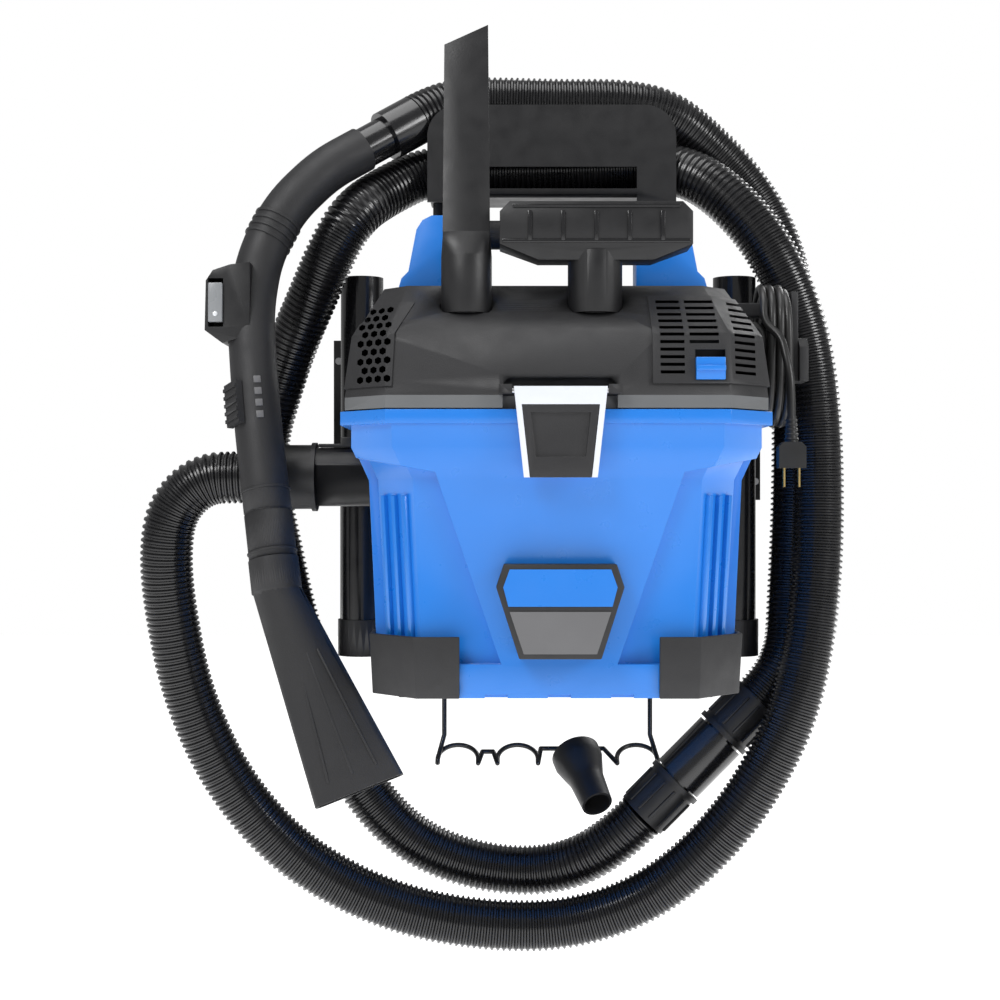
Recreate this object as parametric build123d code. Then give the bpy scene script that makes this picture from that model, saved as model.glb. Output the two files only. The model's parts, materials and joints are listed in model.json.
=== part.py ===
from build123d import *
import math
import os

# Wall-hung wet and dry shop vacuum. Millimetres, +Z up, front faces -Y.
# Origin: centre of the four wall screws, on the back face of the wall plate.

# ---- driving sizes ---------------------------------------------------------
# tank
TANK_HALF_W = 165.0        # body at the rim
TANK_FOOT_HALF_W = 145.0   # body at the bottom
TANK_FRONT_Y = -333.0
TANK_REAR_Y = -100.0
TANK_TOP_Z = 71.0
TANK_BOTTOM_Z = -157.0
TANK_WALL = 3.5
RIM_HEIGHT = 11.0
RIM_OVERHANG = 9.0
SHOULDER_Z = 16.0          # under it the walls draw in
CORNER_X = 35.0            # corner chamfer along X
CORNER_SLOPE = 1.114       # corner chamfer along Y over its X
REAR_CORNER = 16.0
FUNNEL_DEPTH = 9.0         # how far the front corners are set back
TANK_INSET = 6.5           # inner face of the wall behind the rim's outline
PANEL_TOP_HALF = 98.0      # front panel between the set-back corners
PANEL_LOW_HALF = 46.0
PANEL_SPREAD_Z = 22.0
PANEL_LOW_Z = -130.0
CORNER_REGION_DEPTH = 70.0
INTAKE_R = 16.0            # hole in the lid's floor that the float closes

# lid
LID_HALF_W = 170.0
LID_CREASE_Z = 131.0
LID_TOP_Z = 176.0
LID_WALL = 3.0
LID_FRONT_TOP_Y = -262.0
SKIRT_HEIGHT = 10.0
SEAL_THICK = 1.0
LIP_DEPTH = 10.0
LIP_CLEAR = 1.0
PANEL_THICK = 2.5
GRILLE_THICK = 1.6

# motor
MOTOR_Y = -215.0
SHAFT_R = 4.0
SHAFT_LENGTH = 84.0
STATOR_R = 42.0
STATOR_BORE = 25.0
STATOR_HEIGHT = 34.0
ARMATURE_R = 24.0
FAN_R = 60.0
FAN_CASE_R = 66.0
RUN_GAP = 0.3
SHAFT_FIT = 0.03

# filter
CAGE_R = 52.0
CAGE_WALL = 2.5
CAGE_BOTTOM_Z = -20.0
FILTER_R = 75.0
FILTER_BORE = 54.0
FILTER_LENGTH = 96.0
FLOAT_R = 20.0
PLEATS = 40

# hose system
HOSE_R = 23.25
HOSE_BORE = 19.0
CUFF_R = 23.0
WAND_R = 20.5
WAND_WALL = 2.2
FIT = 0.3                  # slip fit between things that pull apart

# wall bracket
PLATE_THICK = 6.0
PLATE_HALF_W = 200.0
PLATE_TOP_Z = 154.0
PLATE_BOTTOM_Z = -146.0
SCREW_SPACING_X = 240.0
SCREW_SPACING_Z = 110.0
SCREW_HOLE_R = 3.0
EXT_WAND_X = 175.4
EXT_WAND_Y = -50.0
EXT_WAND_R = 20.0
EXT_WAND_TOP = 209.0
CUP_R = 22.6
CUP_DEPTH = 30.0
CUP_FLOOR = 4.0
RAIL_HALF_W = 120.0
RAIL_TOP_Z = 10.0
RAIL_HEIGHT = 30.0
RAIL_FRONT_Y = -86.0

# hose hanger
HANGER_FRONT_Y = -98.0
HANGER_THICK = 3.5
HANGER_X = 2.0             # middle of the hanger
HANGER_HALF_W = 114.0
HANGER_LEG_Z = 273.0
HANGER_TOP_Z = 362.0
LOWER_SADDLE_Z = 285.2
UPPER_SADDLE_Z = 344.4
POST_X = 101.5
POST_W = 13.0

# handle and stored tools
HANDLE_Y = -180.0
HANDLE_DEPTH = 40.0
GRIP_R = 12.5
GRIP_Z = 233.0
HANDLE_INNER = 71.5
TOOL_Y = -285.0
CREVICE_X = -72.5
UTILITY_X = 31.4
POCKET_Z = 150.0
PEG_R = 16.0
PEG_HEIGHT = 36.0

# latch
LATCH_X = 1.6
LATCH_TOP_Z = 88.0
LATCH_BOTTOM_Z = 17.5
LATCH_TOP_W = 72.6
LATCH_BOTTOM_W = 57.0
LATCH_FRONT_Y = -350.0
LATCH_THICK = 11.0
LATCH_PIN_R = 2.0
LATCH_PIN_Z = 85.0

# inlet
INLET_Y = -142.0
INLET_Z = 20.5
INLET_R = 26.0
INLET_TIP_X = -222.0
INLET_CUFF_R = 30.5
INLET_CUFF_END_X = -241.0

# wire rack
WIRE_R = 2.3
RACK_Y = -14.0
RACK_BACK_Z = -236.0
RACK_TILT = 35.0
LOOP_R = 19.3
LOOP_PITCH = 57.0
LOOP_DEPTH = 6.0

# mains cord
CORD_R = 3.5

os.makedirs("parts", exist_ok=True)


def save(shape, node):
    export_step(shape, f"parts/{node}.step")


def group(*solids):
    found = []
    for item in solids:
        found += list(item.solids())
    return Compound(children=found)


# ---- small makers ----------------------------------------------------------
def box(x0, x1, y0, y1, z0, z1):
    size = (abs(x1 - x0), abs(y1 - y0), abs(z1 - z0))
    middle = ((x0 + x1) / 2, (y0 + y1) / 2, (z0 + z1) / 2)
    return Pos(*middle) * Box(*size)


def rod(x, y, z0, z1, radius):
    return Pos(x, y, (z0 + z1) / 2) * Cylinder(radius, abs(z1 - z0))


def ring(x, y, z0, z1, outer, inner):
    return rod(x, y, z0, z1, outer) - rod(x, y, z0 - 1, z1 + 1, inner)


def rod_x(x0, x1, y, z, radius):
    turned = Rot(0, 90, 0) * Cylinder(radius, abs(x1 - x0))
    return Pos((x0 + x1) / 2, y, z) * turned


def rod_between(start, end, radius):
    start, end = Vector(*start), Vector(*end)
    plane = Plane(origin=start, z_dir=end - start)
    disc = plane * Circle(radius)
    return extrude(disc, amount=(end - start).length)


def prism_xz(points, y0, y1):
    """Extrude an outline given as (x, z) from y0 back to y1."""
    outline = Polyline(*[(x, y0, z) for x, z in points], close=True)
    return extrude(make_face(outline), amount=abs(y1 - y0), dir=(0, 1, 0))


def octagon(half_w, y_front, y_rear, corner_x, rear, z):
    corner_y = corner_x * CORNER_SLOPE
    points = [
        (-half_w + corner_x, y_front), (half_w - corner_x, y_front),
        (half_w, y_front + corner_y), (half_w, y_rear - rear),
        (half_w - rear, y_rear), (-half_w + rear, y_rear),
        (-half_w, y_rear - rear), (-half_w, y_front + corner_y),
    ]
    return make_face(Polyline(*[(x, y, z) for x, y in points], close=True))


def stack(rows, grow=0.0):
    """Straight-sided body through octagons, each moved out by grow."""
    corner_shift = grow * (2 - math.sqrt(2))
    faces = [
        octagon(w + grow, yf - grow, yr + grow, cx + corner_shift, r + corner_shift, z)
        for w, yf, yr, cx, r, z in rows
    ]
    body = loft([faces[0], faces[1]], ruled=True)
    for low, high in zip(faces[1:-1], faces[2:]):
        body += loft([low, high], ruled=True)
    return body


def fillet_route(points, share=0.45):
    """Straight runs joined by the largest arcs they allow."""
    spots = [Vector(*p) for p in points]
    runs = [b - a for a, b in zip(spots, spots[1:])]
    radii = []
    for first, second in zip(runs, runs[1:]):
        turn = math.radians(first.get_angle(second))
        short = min(first.length, second.length)
        radii.append(share * short / math.tan(turn / 2))
    return FilletPolyline(*spots, radius=radii), radii


def swept(points, radius, bore=0.0):
    path, radii = fillet_route(points)
    plane = Plane(origin=path @ 0, z_dir=path % 0)
    tube = sweep(plane * Circle(radius), path)
    if bore:
        tube -= sweep(plane * Circle(bore), path)
    return tube, path, radii


def cord_tube(name, points, radius, bore=0.0):
    tube, path, radii = swept(points, radius, bore)
    section = math.pi * (radius ** 2 - bore ** 2)
    share = tube.volume / (section * path.length)
    print(f"{name}: length {path.length:.0f}, volume share {share:.4f}")
    print("  radii " + " ".join(f"{r:.0f}" for r in radii))
    return tube


# ---- tank ------------------------------------------------------------------
TANK_ROWS = [
    (TANK_FOOT_HALF_W, TANK_FRONT_Y + 18, TANK_REAR_Y - 8, CORNER_X, REAR_CORNER,
     TANK_BOTTOM_Z),
    (TANK_HALF_W - 12, TANK_FRONT_Y + 7, TANK_REAR_Y - 2, CORNER_X, REAR_CORNER, SHOULDER_Z),
    (TANK_HALF_W, TANK_FRONT_Y, TANK_REAR_Y, CORNER_X, REAR_CORNER, SHOULDER_Z + 26),
    (TANK_HALF_W, TANK_FRONT_Y, TANK_REAR_Y, CORNER_X, REAR_CORNER, TANK_TOP_Z),
]
RIM_ROW = (TANK_HALF_W, TANK_FRONT_Y, TANK_REAR_Y, CORNER_X, REAR_CORNER)


def side_half_width(z):
    """Half width of the tank body at a height under the shoulder."""
    low, high = TANK_ROWS[0], TANK_ROWS[1]
    share = (z - low[-1]) / (high[-1] - low[-1])
    return low[0] + share * (high[0] - low[0])


def corner_region(side, grow):
    """Front corner beside the panel that narrows downwards."""
    outline = [
        (side * (TANK_HALF_W + 20), PANEL_SPREAD_Z + grow + 16),
        (side * (PANEL_TOP_HALF - grow), PANEL_SPREAD_Z + grow),
        (side * (PANEL_LOW_HALF - grow), PANEL_LOW_Z - grow),
        (side * (TANK_HALF_W + 20), PANEL_LOW_Z - grow),
    ]
    outline = [(LATCH_X + x, z) for x, z in outline]
    return prism_xz(outline, TANK_FRONT_Y - 40, TANK_FRONT_Y + CORNER_REGION_DEPTH + grow)


def make_tank():
    rim_z = TANK_TOP_Z - RIM_HEIGHT
    outer = stack(TANK_ROWS)
    rim_w, rim_yf, rim_yr, cx, r = RIM_ROW
    rim_rows = [(rim_w + RIM_OVERHANG, rim_yf - 2, rim_yr, cx + 4, r, z)
                for z in (rim_z, TANK_TOP_Z)]
    rim = stack(rim_rows)
    inner_rows = [row[:5] + (z,) for row, z in zip(
        TANK_ROWS, (TANK_BOTTOM_Z + TANK_WALL, SHOULDER_Z, SHOULDER_Z + 26, TANK_TOP_Z + 1))]
    inner = stack(inner_rows, -TANK_INSET)
    for side in (-1, 1):
        outer -= corner_region(side, 0.0) - stack(TANK_ROWS, -FUNNEL_DEPTH)
        inner -= corner_region(side, TANK_WALL + 1) - stack(inner_rows, -FUNNEL_DEPTH - TANK_WALL)
    body = outer + rim - inner
    # hook strip that hangs over the lip of the bracket's rail
    hook_top = RAIL_TOP_Z + 30
    body += box(-90, 90, TANK_REAR_Y - 4, -72, hook_top - 6, hook_top)
    body += box(-90, 90, -78, -72, RAIL_TOP_Z + 2, hook_top - 5)
    # inlet hole through the left wall
    body -= rod_x(-TANK_HALF_W - 30, -TANK_HALF_W + 40, INLET_Y, INLET_Z, INLET_R - 3)
    # row of shallow notches along the bottom front edge
    for index in range(5):
        x = LATCH_X - 100 + index * 50
        body -= box(x - 9, x + 9, TANK_FRONT_Y - 5, TANK_FRONT_Y + 24,
                    TANK_BOTTOM_Z - 1, TANK_BOTTOM_Z + 3)
    return body


def make_corner_feet():
    """Two dark shells on the lower front corners."""
    foot_rows = [
        (TANK_FOOT_HALF_W, TANK_FRONT_Y + 18, TANK_REAR_Y - 8, CORNER_X, REAR_CORNER,
         TANK_BOTTOM_Z),
        (side_half_width(-108), TANK_FRONT_Y + 14, TANK_REAR_Y - 6, CORNER_X, REAR_CORNER,
         -108.0),
    ]
    shell = stack(foot_rows, 4.0) - stack(TANK_ROWS, 0.0)
    feet = []
    for side in (-1, 1):
        near, far = LATCH_X + side * 79, LATCH_X + side * (TANK_HALF_W + 20)
        keep = box(min(near, far), max(near, far), TANK_FRONT_Y - 20,
                   TANK_FRONT_Y + 100, TANK_BOTTOM_Z - 4, -108)
        sole = box(near, side * 128, TANK_FRONT_Y + 60, TANK_FRONT_Y + 96,
                   TANK_BOTTOM_Z - 4, TANK_BOTTOM_Z)
        feet.append((shell & keep) + sole)
    return group(*feet)


def make_badge():
    """Bare six-sided plate on the front panel."""
    rows = [(44, -50), (50, -68), (32, -124)]
    left = [(LATCH_X - w, z) for w, z in rows]
    right = [(LATCH_X + w, z) for w, z in reversed(rows)]
    plate = prism_xz(left + right, TANK_FRONT_Y - 6, TANK_FRONT_Y + 30)
    return plate - stack(TANK_ROWS)


def make_seal():
    w, yf, yr, cx, r = RIM_ROW
    outer = stack([(w, yf, yr, cx, r, z)
                   for z in (TANK_TOP_Z, TANK_TOP_Z + SEAL_THICK)])
    inner = stack([(w, yf, yr, cx, r, z) for z in (TANK_TOP_Z - 1, TANK_TOP_Z + 4)], -3.3)
    return outer - inner


# ---- inlet -----------------------------------------------------------------
def make_inlet_spout():
    wall_x = -side_half_width(INLET_Z) - 4
    tube = rod_x(wall_x, INLET_TIP_X, INLET_Y, INLET_Z, INLET_R)
    flange = rod_x(wall_x - 3, wall_x + 4, INLET_Y, INLET_Z, INLET_R + 5)
    inside = rod_x(wall_x, wall_x + 36, INLET_Y, INLET_Z, INLET_R - 3.4)
    bore = rod_x(wall_x + 60, INLET_TIP_X - 1, INLET_Y, INLET_Z, HOSE_BORE)
    outside = (tube + flange) - stack(TANK_ROWS)
    return outside + inside - bore


def make_inlet_clip():
    """Springy arm on the spout that holds the cuff's flange."""
    arm_z = INLET_Z + INLET_R + FIT
    arm = box(-206, -177, INLET_Y - 9, INLET_Y + 9, arm_z, arm_z + 3)
    pad = box(-186, -177, INLET_Y - 9, INLET_Y + 9, arm_z, arm_z + 9)
    return arm + pad


def make_inlet_cuff():
    body = rod_x(INLET_TIP_X + 14, INLET_CUFF_END_X, INLET_Y, INLET_Z, INLET_CUFF_R - 2)
    flange = rod_x(INLET_TIP_X + 14, INLET_TIP_X + 10, INLET_Y, INLET_Z, INLET_CUFF_R)
    socket = rod_x(INLET_TIP_X + 15, INLET_TIP_X - RUN_GAP, INLET_Y, INLET_Z,
                   INLET_R + 0.15)
    bore = rod_x(INLET_TIP_X, INLET_CUFF_END_X - 1, INLET_Y, INLET_Z, HOSE_BORE)
    return body + flange - socket - bore


# ---- wall bracket ----------------------------------------------------------
def make_wall_plate():
    plate = box(-PLATE_HALF_W, PLATE_HALF_W, -PLATE_THICK, 0, PLATE_BOTTOM_Z, PLATE_TOP_Z)
    window = box(-92, 92, -PLATE_THICK - 1, 1, -122, -34)
    upper_window = box(-92, 92, -PLATE_THICK - 1, 1, 24, 126)
    rail = box(-RAIL_HALF_W, RAIL_HALF_W, RAIL_FRONT_Y, 0, RAIL_TOP_Z - RAIL_HEIGHT, RAIL_TOP_Z)
    hollow = box(-RAIL_HALF_W + 4, RAIL_HALF_W - 4, RAIL_FRONT_Y + 4, 1,
                 RAIL_TOP_Z - RAIL_HEIGHT + 4, RAIL_TOP_Z - 4)
    lip = box(-RAIL_HALF_W, RAIL_HALF_W, RAIL_FRONT_Y, RAIL_FRONT_Y + 6,
              RAIL_TOP_Z, RAIL_TOP_Z + 20)
    body = plate - window - upper_window + (rail - hollow) + lip
    for x in (-SCREW_SPACING_X / 2, SCREW_SPACING_X / 2):
        for z in (-SCREW_SPACING_Z / 2, SCREW_SPACING_Z / 2):
            body -= Pos(x, -PLATE_THICK / 2, z) * Rot(90, 0, 0) * Cylinder(
                SCREW_HOLE_R, PLATE_THICK + 2)
    return body


def make_side_columns():
    columns = []
    for side in (-1, 1):
        x = side * EXT_WAND_X
        back = box(x - 21, x + 21, -PLATE_THICK, EXT_WAND_Y + EXT_WAND_R + FIT,
                   PLATE_BOTTOM_Z, PLATE_TOP_Z)
        hollow = box(x - 17, x + 17, -PLATE_THICK + 1, -PLATE_THICK - 18,
                     PLATE_BOTTOM_Z + 5, PLATE_TOP_Z - 5)
        cup = rod(x, EXT_WAND_Y, PLATE_BOTTOM_Z, PLATE_BOTTOM_Z + CUP_DEPTH + CUP_FLOOR, CUP_R)
        bore = rod(x, EXT_WAND_Y, PLATE_BOTTOM_Z + CUP_FLOOR, EXT_WAND_TOP, EXT_WAND_R + FIT)
        flange = box(side * 190, side * 206, -PLATE_THICK - 3, -PLATE_THICK, 0, PLATE_TOP_Z)
        columns.append(back - hollow + cup + flange - bore)
    return group(*columns)


def make_bracket_screws():
    screws = []
    for side in (-1, 1):
        for z in (18, 134):
            x = side * 201
            head_y = -PLATE_THICK - 3
            head = Pos(x, head_y - 1, z) * Rot(90, 0, 0) * Cylinder(3.4, 2)
            screws.append(head)
    return group(*screws)


def make_hose_hanger():
    x0, x1 = HANGER_X - HANGER_HALF_W, HANGER_X + HANGER_HALF_W
    back_y = HANGER_FRONT_Y + HANGER_THICK
    front = box(x0, x1, HANGER_FRONT_Y, back_y, HANGER_LEG_Z, HANGER_TOP_Z)
    corners = front.edges().filter_by(Axis.Y).group_by(Axis.Z)[-1]
    front = fillet(corners, 29)
    window = box(x0 + 36, x1 - 36, HANGER_FRONT_Y - 1, back_y + 1,
                 HANGER_LEG_Z - 1, LOWER_SADDLE_Z - 5)
    peep = box(x0 + 36, x1 - 36, HANGER_FRONT_Y - 1, back_y + 1,
               LOWER_SADDLE_Z, LOWER_SADDLE_Z + 20)
    body = front - window - peep
    for top in (LOWER_SADDLE_Z, UPPER_SADDLE_Z):
        body += box(x0 + 34, x1 - 34, back_y - 1, -26, top - 5, top)
    body += box(x0 + 34, x1 - 34, -30, -26, LOWER_SADDLE_Z - 5, UPPER_SADDLE_Z + 24)
    body += box(x0 + 2, x1 - 2, back_y - 1, -40, LOWER_SADDLE_Z - 8, LOWER_SADDLE_Z - 5)
    for side in (-1, 1):
        x = side * POST_X
        body += box(x - POST_W / 2, x + POST_W / 2, -62, -48, RAIL_TOP_Z, LOWER_SADDLE_Z - 7)
    return body


def wire(places):
    """Straight wires with round joints through the places."""
    pieces = [rod_between(a, b, WIRE_R) for a, b in zip(places, places[1:])]
    return pieces + [Pos(*place) * Sphere(WIRE_R) for place in places]


def make_wire_rack():
    """Bent wire: two posts, open loops sloping down to the front and one long peg."""
    spot, pieces = rack_spot, []
    centres = [(-1.5 + i) * LOOP_PITCH for i in range(4)]
    tip, low = LOOP_R + LOOP_DEPTH, LOOP_R - 10
    for x in centres[:2] + centres[3:]:
        arc = ThreePointArc(spot(x - LOOP_R, LOOP_R), spot(x, 0), spot(x + LOOP_R, LOOP_R))
        left = Line(spot(x - LOOP_R, tip), spot(x - LOOP_R, LOOP_R))
        right = Line(spot(x + LOOP_R, LOOP_R), spot(x + LOOP_R, tip))
        path = Wire([left.edge(), arc.edge(), right.edge()])
        plane = Plane(origin=path @ 0, z_dir=path % 0)
        pieces.append(sweep(plane * Circle(WIRE_R), path))
    a, b = centres[0] + LOOP_R, centres[1] - LOOP_R
    pieces += wire([spot(a, tip), spot(a + 4, low), spot(b - 4, low), spot(b, tip)])
    a, b, run = centres[1] + LOOP_R, centres[3] - LOOP_R, BLOWER_ROOT[1]
    pieces += wire([spot(a, tip), spot(a + 3, run), spot(b - 12, run), spot(b, tip)])
    root, axis, across, _ = blower_frame()
    half, length = BLOWER_PEG
    start = [root - Vector(1, 0, 0) * half / across.X, root + Vector(1, 0, 0) * half / across.X]
    ends = [root + axis * length - across * half, root + axis * length + across * half]
    peg = [start[0], ends[0], ends[1], start[1]]
    pieces += wire([tuple(place) for place in peg])
    for side in (-1, 1):
        x = side * 99
        top_z = RAIL_TOP_Z - RAIL_HEIGHT
        outer = side * (1.5 * LOOP_PITCH + LOOP_R)
        pieces.append(rod_between((x, RACK_Y, top_z), (x, RACK_Y, -226), WIRE_R))
        pieces.append(rod_between((x, RACK_Y, -226), spot(outer, LOOP_R), WIRE_R))
        pieces.append(Pos(x, RACK_Y, -226) * Sphere(WIRE_R))
    body = pieces[0]
    for piece in pieces[1:]:
        body += piece
    return body


# ---- lid -------------------------------------------------------------------
LID_BASE_Z = TANK_TOP_Z + SEAL_THICK
DECK_Z = LID_BASE_Z + SKIRT_HEIGHT
LID_ROWS = [
    (LID_HALF_W, TANK_FRONT_Y - 2, TANK_REAR_Y, CORNER_X, REAR_CORNER, DECK_Z),
    (LID_HALF_W - 7, TANK_FRONT_Y + 6, TANK_REAR_Y - 4, CORNER_X - 5, REAR_CORNER, LID_CREASE_Z),
    (LID_HALF_W - 28, LID_FRONT_TOP_Y, TANK_REAR_Y - 14, CORNER_X - 14, REAR_CORNER, LID_TOP_Z),
]


def lid_front_y(z):
    """Front face of the lid at a height."""
    low, mid, top = LID_ROWS
    a, b = (low, mid) if z < LID_CREASE_Z else (mid, top)
    return a[1] + (z - a[-1]) / (b[-1] - a[-1]) * (b[1] - a[1])


VENT_X0, VENT_X1 = 74.0, 161.0
VENT_Z0, VENT_Z1 = 91.0, 166.0
SWITCH_X, SWITCH_W, SWITCH_Z0, SWITCH_H = 119.0, 23.0, 94.0, 17.5
SWITCH_TRAVEL = 6.0
GRILLE_X0, GRILLE_X1 = -162.0, -128.0
GRILLE_Z0, GRILLE_Z1 = 89.0, 160.0


def vent_slots():
    slots = []
    columns = ((80, 99), (103, 126), (139, 158))
    for column, (x0, x1) in enumerate(columns):
        for row in range(11):
            z = VENT_Z1 - 6 - row * 6
            if column == 1 and z < SWITCH_Z0 + SWITCH_H + SWITCH_TRAVEL + 6:
                continue
            slots.append(box(x0, x1, TANK_FRONT_Y - 10, TANK_FRONT_Y + 110, z - 1.3, z + 1.3))
    return group(*slots)


def switch_window():
    return box(SWITCH_X - SWITCH_W / 2 - FIT, SWITCH_X + SWITCH_W / 2 + FIT,
               TANK_FRONT_Y - 12, TANK_FRONT_Y + 30, SWITCH_Z0 - FIT,
               SWITCH_Z0 + SWITCH_H + SWITCH_TRAVEL + FIT)


def latch_recess():
    face = box(LATCH_X - 45, LATCH_X + 45, TANK_FRONT_Y - 12, TANK_FRONT_Y + 12,
               LID_BASE_Z - 4, LATCH_TOP_Z + 8)
    upper = face.edges().filter_by(Axis.Y).group_by(Axis.Z)[-1]
    return fillet(upper, 8)


def make_lid_shell():
    shell = stack(LID_ROWS)
    inner_rows = [LID_ROWS[0][:5] + (DECK_Z - 1,), LID_ROWS[1],
                  LID_ROWS[2][:5] + (LID_TOP_Z - LID_WALL,)]
    shell -= stack(inner_rows, -LID_WALL)
    recess = latch_recess()
    liner = box(LATCH_X - 48, LATCH_X + 48, TANK_FRONT_Y - 1, TANK_FRONT_Y + 15,
                DECK_Z, LATCH_TOP_Z + 11)
    shell += liner & stack(LID_ROWS)
    shell -= recess
    for side in (-1, 1):
        near = LATCH_X + side * 37.5
        far = LATCH_X + side * 48
        y = LATCH_FRONT_Y + LATCH_THICK
        lug = box(min(near, far), max(near, far), y - 5, TANK_FRONT_Y + 14,
                  LATCH_PIN_Z - 2.4, LATCH_PIN_Z + 5)
        shell += lug
    shell -= rod_x(LATCH_X - 47, LATCH_X + 47, LATCH_FRONT_Y + LATCH_THICK,
                   LATCH_PIN_Z, LATCH_PIN_R)
    for x in (CREVICE_X, UTILITY_X):
        lip = box(x - 25, x + 25, TOOL_Y - 25, TOOL_Y + 25, POCKET_Z - 3, LID_TOP_Z - 0.5)
        shell += lip & stack(LID_ROWS)
        shell -= rod(x, TOOL_Y, POCKET_Z, LID_TOP_Z + 4, 23)
    shell -= vent_slots()
    shell -= switch_window()
    shell -= grille_holes()
    # hole for the cord's strain relief in the right side
    shell -= rod_x(LID_HALF_W - 30, LID_HALF_W + 10, CORD_EXIT_Y, CORD_EXIT_Z, 6.0)
    return shell


def grille_holes():
    """Six-sided holes over the left front corner."""
    holes = []
    for row in range(9):
        for column in range(4):
            x = GRILLE_X0 + 5.5 + column * 7.6 + (row % 2) * 3.8
            z = GRILLE_Z0 + 6 + row * 7.3
            if x > GRILLE_X1 - 3:
                continue
            cell = Plane(origin=(x, TANK_FRONT_Y - 12, z), z_dir=(0, 1, 0))
            holes.append(extrude(cell * RegularPolygon(3.1, 6), amount=90))
    return group(*holes)


def skin_panel(outline, thick):
    """A panel of even thickness lying on the lid's front and corner."""
    region = prism_xz(outline, TANK_FRONT_Y - 20, TANK_FRONT_Y + 85)
    return (stack(LID_ROWS, thick) & region) - stack(LID_ROWS)


def make_vent_panel():
    x0, x1 = VENT_X0, VENT_X1 + 12
    outline = [(x0, VENT_Z1), (x1, VENT_Z1), (x1, VENT_Z0), (x0, VENT_Z0)]
    return skin_panel(outline, PANEL_THICK) - vent_slots() - switch_window()


def make_mesh_grille():
    outline = [(GRILLE_X0 - 12, GRILLE_Z0), (GRILLE_X1 - 2, GRILLE_Z0),
               (GRILLE_X1, LID_CREASE_Z), (GRILLE_X1 + 14, GRILLE_Z1),
               (GRILLE_X1 - 8, GRILLE_Z1), (GRILLE_X0 - 12, LID_CREASE_Z)]
    return skin_panel(outline, GRILLE_THICK) - grille_holes()


def make_lid_base():
    w, yf, yr, cx, r = RIM_ROW
    skirt_rows = [(LID_HALF_W, TANK_FRONT_Y - 2, TANK_REAR_Y, CORNER_X, REAR_CORNER, z)
                  for z in (LID_BASE_Z, DECK_Z)]
    skirt = stack(skirt_rows) - stack([row[:5] + (row[5] - 4,) for row in skirt_rows], -4)
    inside = -TANK_INSET - LIP_CLEAR
    lip_rows = [(w, yf, yr, cx, r, z) for z in (LID_BASE_Z - LIP_DEPTH - 1, DECK_Z - 4)]
    lip_bore = [(w, yf, yr, cx, r, z) for z in (LID_BASE_Z - LIP_DEPTH - 2, DECK_Z - 4)]
    lip = stack(lip_rows, inside) - stack(lip_bore, inside - 2.5)
    base = skirt + lip - latch_recess()
    base += box(LATCH_X - 46, LATCH_X + 46, TANK_FRONT_Y + 12, TANK_FRONT_Y + 15,
                LID_BASE_Z, DECK_Z)
    base -= rod(0, MOTOR_Y, LID_BASE_Z - 20, DECK_Z + 2, INTAKE_R)
    # short spigot that the float cage screws on
    base += ring(0, MOTOR_Y, LID_BASE_Z - 4, DECK_Z - 3, CAGE_R - CAGE_WALL - 0.1, CAGE_R - 8)
    return base


def make_tool_posts():
    posts = []
    for x in (CREVICE_X, UTILITY_X):
        posts.append(ring(x, TOOL_Y, POCKET_Z, POCKET_Z + PEG_HEIGHT, PEG_R, PEG_R - 2.5))
    return group(*posts)


def make_handle_frame():
    """Two flared blue uprights that stand on the lid and carry the grip."""
    uprights = []
    y0, y1 = HANDLE_Y - HANDLE_DEPTH / 2, HANDLE_Y + HANDLE_DEPTH / 2
    for side in (-1, 1):
        outline = [(side * 134, LID_TOP_Z), (side * 130, LID_TOP_Z + 14),
                   (side * 124, LID_TOP_Z + 20), (side * 117, 232),
                   (side * 112, 240), (side * 104, 244), (side * 78, 244),
                   (side * HANDLE_INNER, 236), (side * HANDLE_INNER, LID_TOP_Z)]
        body = prism_xz(outline, y0, y1)
        grip_hole = rod_x(side * (HANDLE_INNER - 2), side * 96, HANDLE_Y, GRIP_Z - 3,
                          GRIP_R - 3.5)
        screw_hole = rod_x(side * 96, side * 122, HANDLE_Y, GRIP_Z - 3, 2.4)
        uprights.append(body - grip_hole - screw_hole)
    return group(*uprights)


def make_handle_grip():
    grip = rod_x(-HANDLE_INNER, HANDLE_INNER, HANDLE_Y, GRIP_Z - 3, GRIP_R)
    core = rod_x(-94, 94, HANDLE_Y, GRIP_Z - 3, GRIP_R - 3.5)
    bore = rod_x(-95, 95, HANDLE_Y, GRIP_Z - 3, 2.4)
    return grip + core - bore


def make_lid_screws():
    screws = []
    for side in (-1, 1):
        shank = rod_x(side * 84, side * 116, HANDLE_Y, GRIP_Z - 3, 2.4)
        screws.append(shank)
        for y in (-128, -150):
            screws.append(ring(side * 118, y, DECK_Z, DECK_Z + 12, 6, 2) +
                          rod(side * 118, y, DECK_Z, DECK_Z + 12, 2))
    return group(*screws)


# ---- motor, filter, float --------------------------------------------------
FAN_Z = DECK_Z
STATOR_Z = DECK_Z + 38


def make_motor_housing():
    case = ring(0, MOTOR_Y, FAN_Z, FAN_Z + 30, FAN_CASE_R + 3, FAN_CASE_R)
    floor = ring(0, MOTOR_Y, FAN_Z, FAN_Z + 2, FAN_CASE_R + 1, INTAKE_R)
    roof = ring(0, MOTOR_Y, FAN_Z + 28, FAN_Z + 31, FAN_CASE_R + 3, SHAFT_R + 7)
    neck = ring(0, MOTOR_Y, FAN_Z + 30, STATOR_Z + STATOR_HEIGHT + 4, STATOR_R + 3, STATOR_R)
    seat = ring(0, MOTOR_Y, FAN_Z + 30, FAN_Z + 37, SHAFT_R + 10, SHAFT_R + 7)
    vents = Pos(0, MOTOR_Y, FAN_Z + 15) * Box(30, 3 * FAN_CASE_R, 10)
    return case + floor + roof + neck + seat - vents


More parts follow.
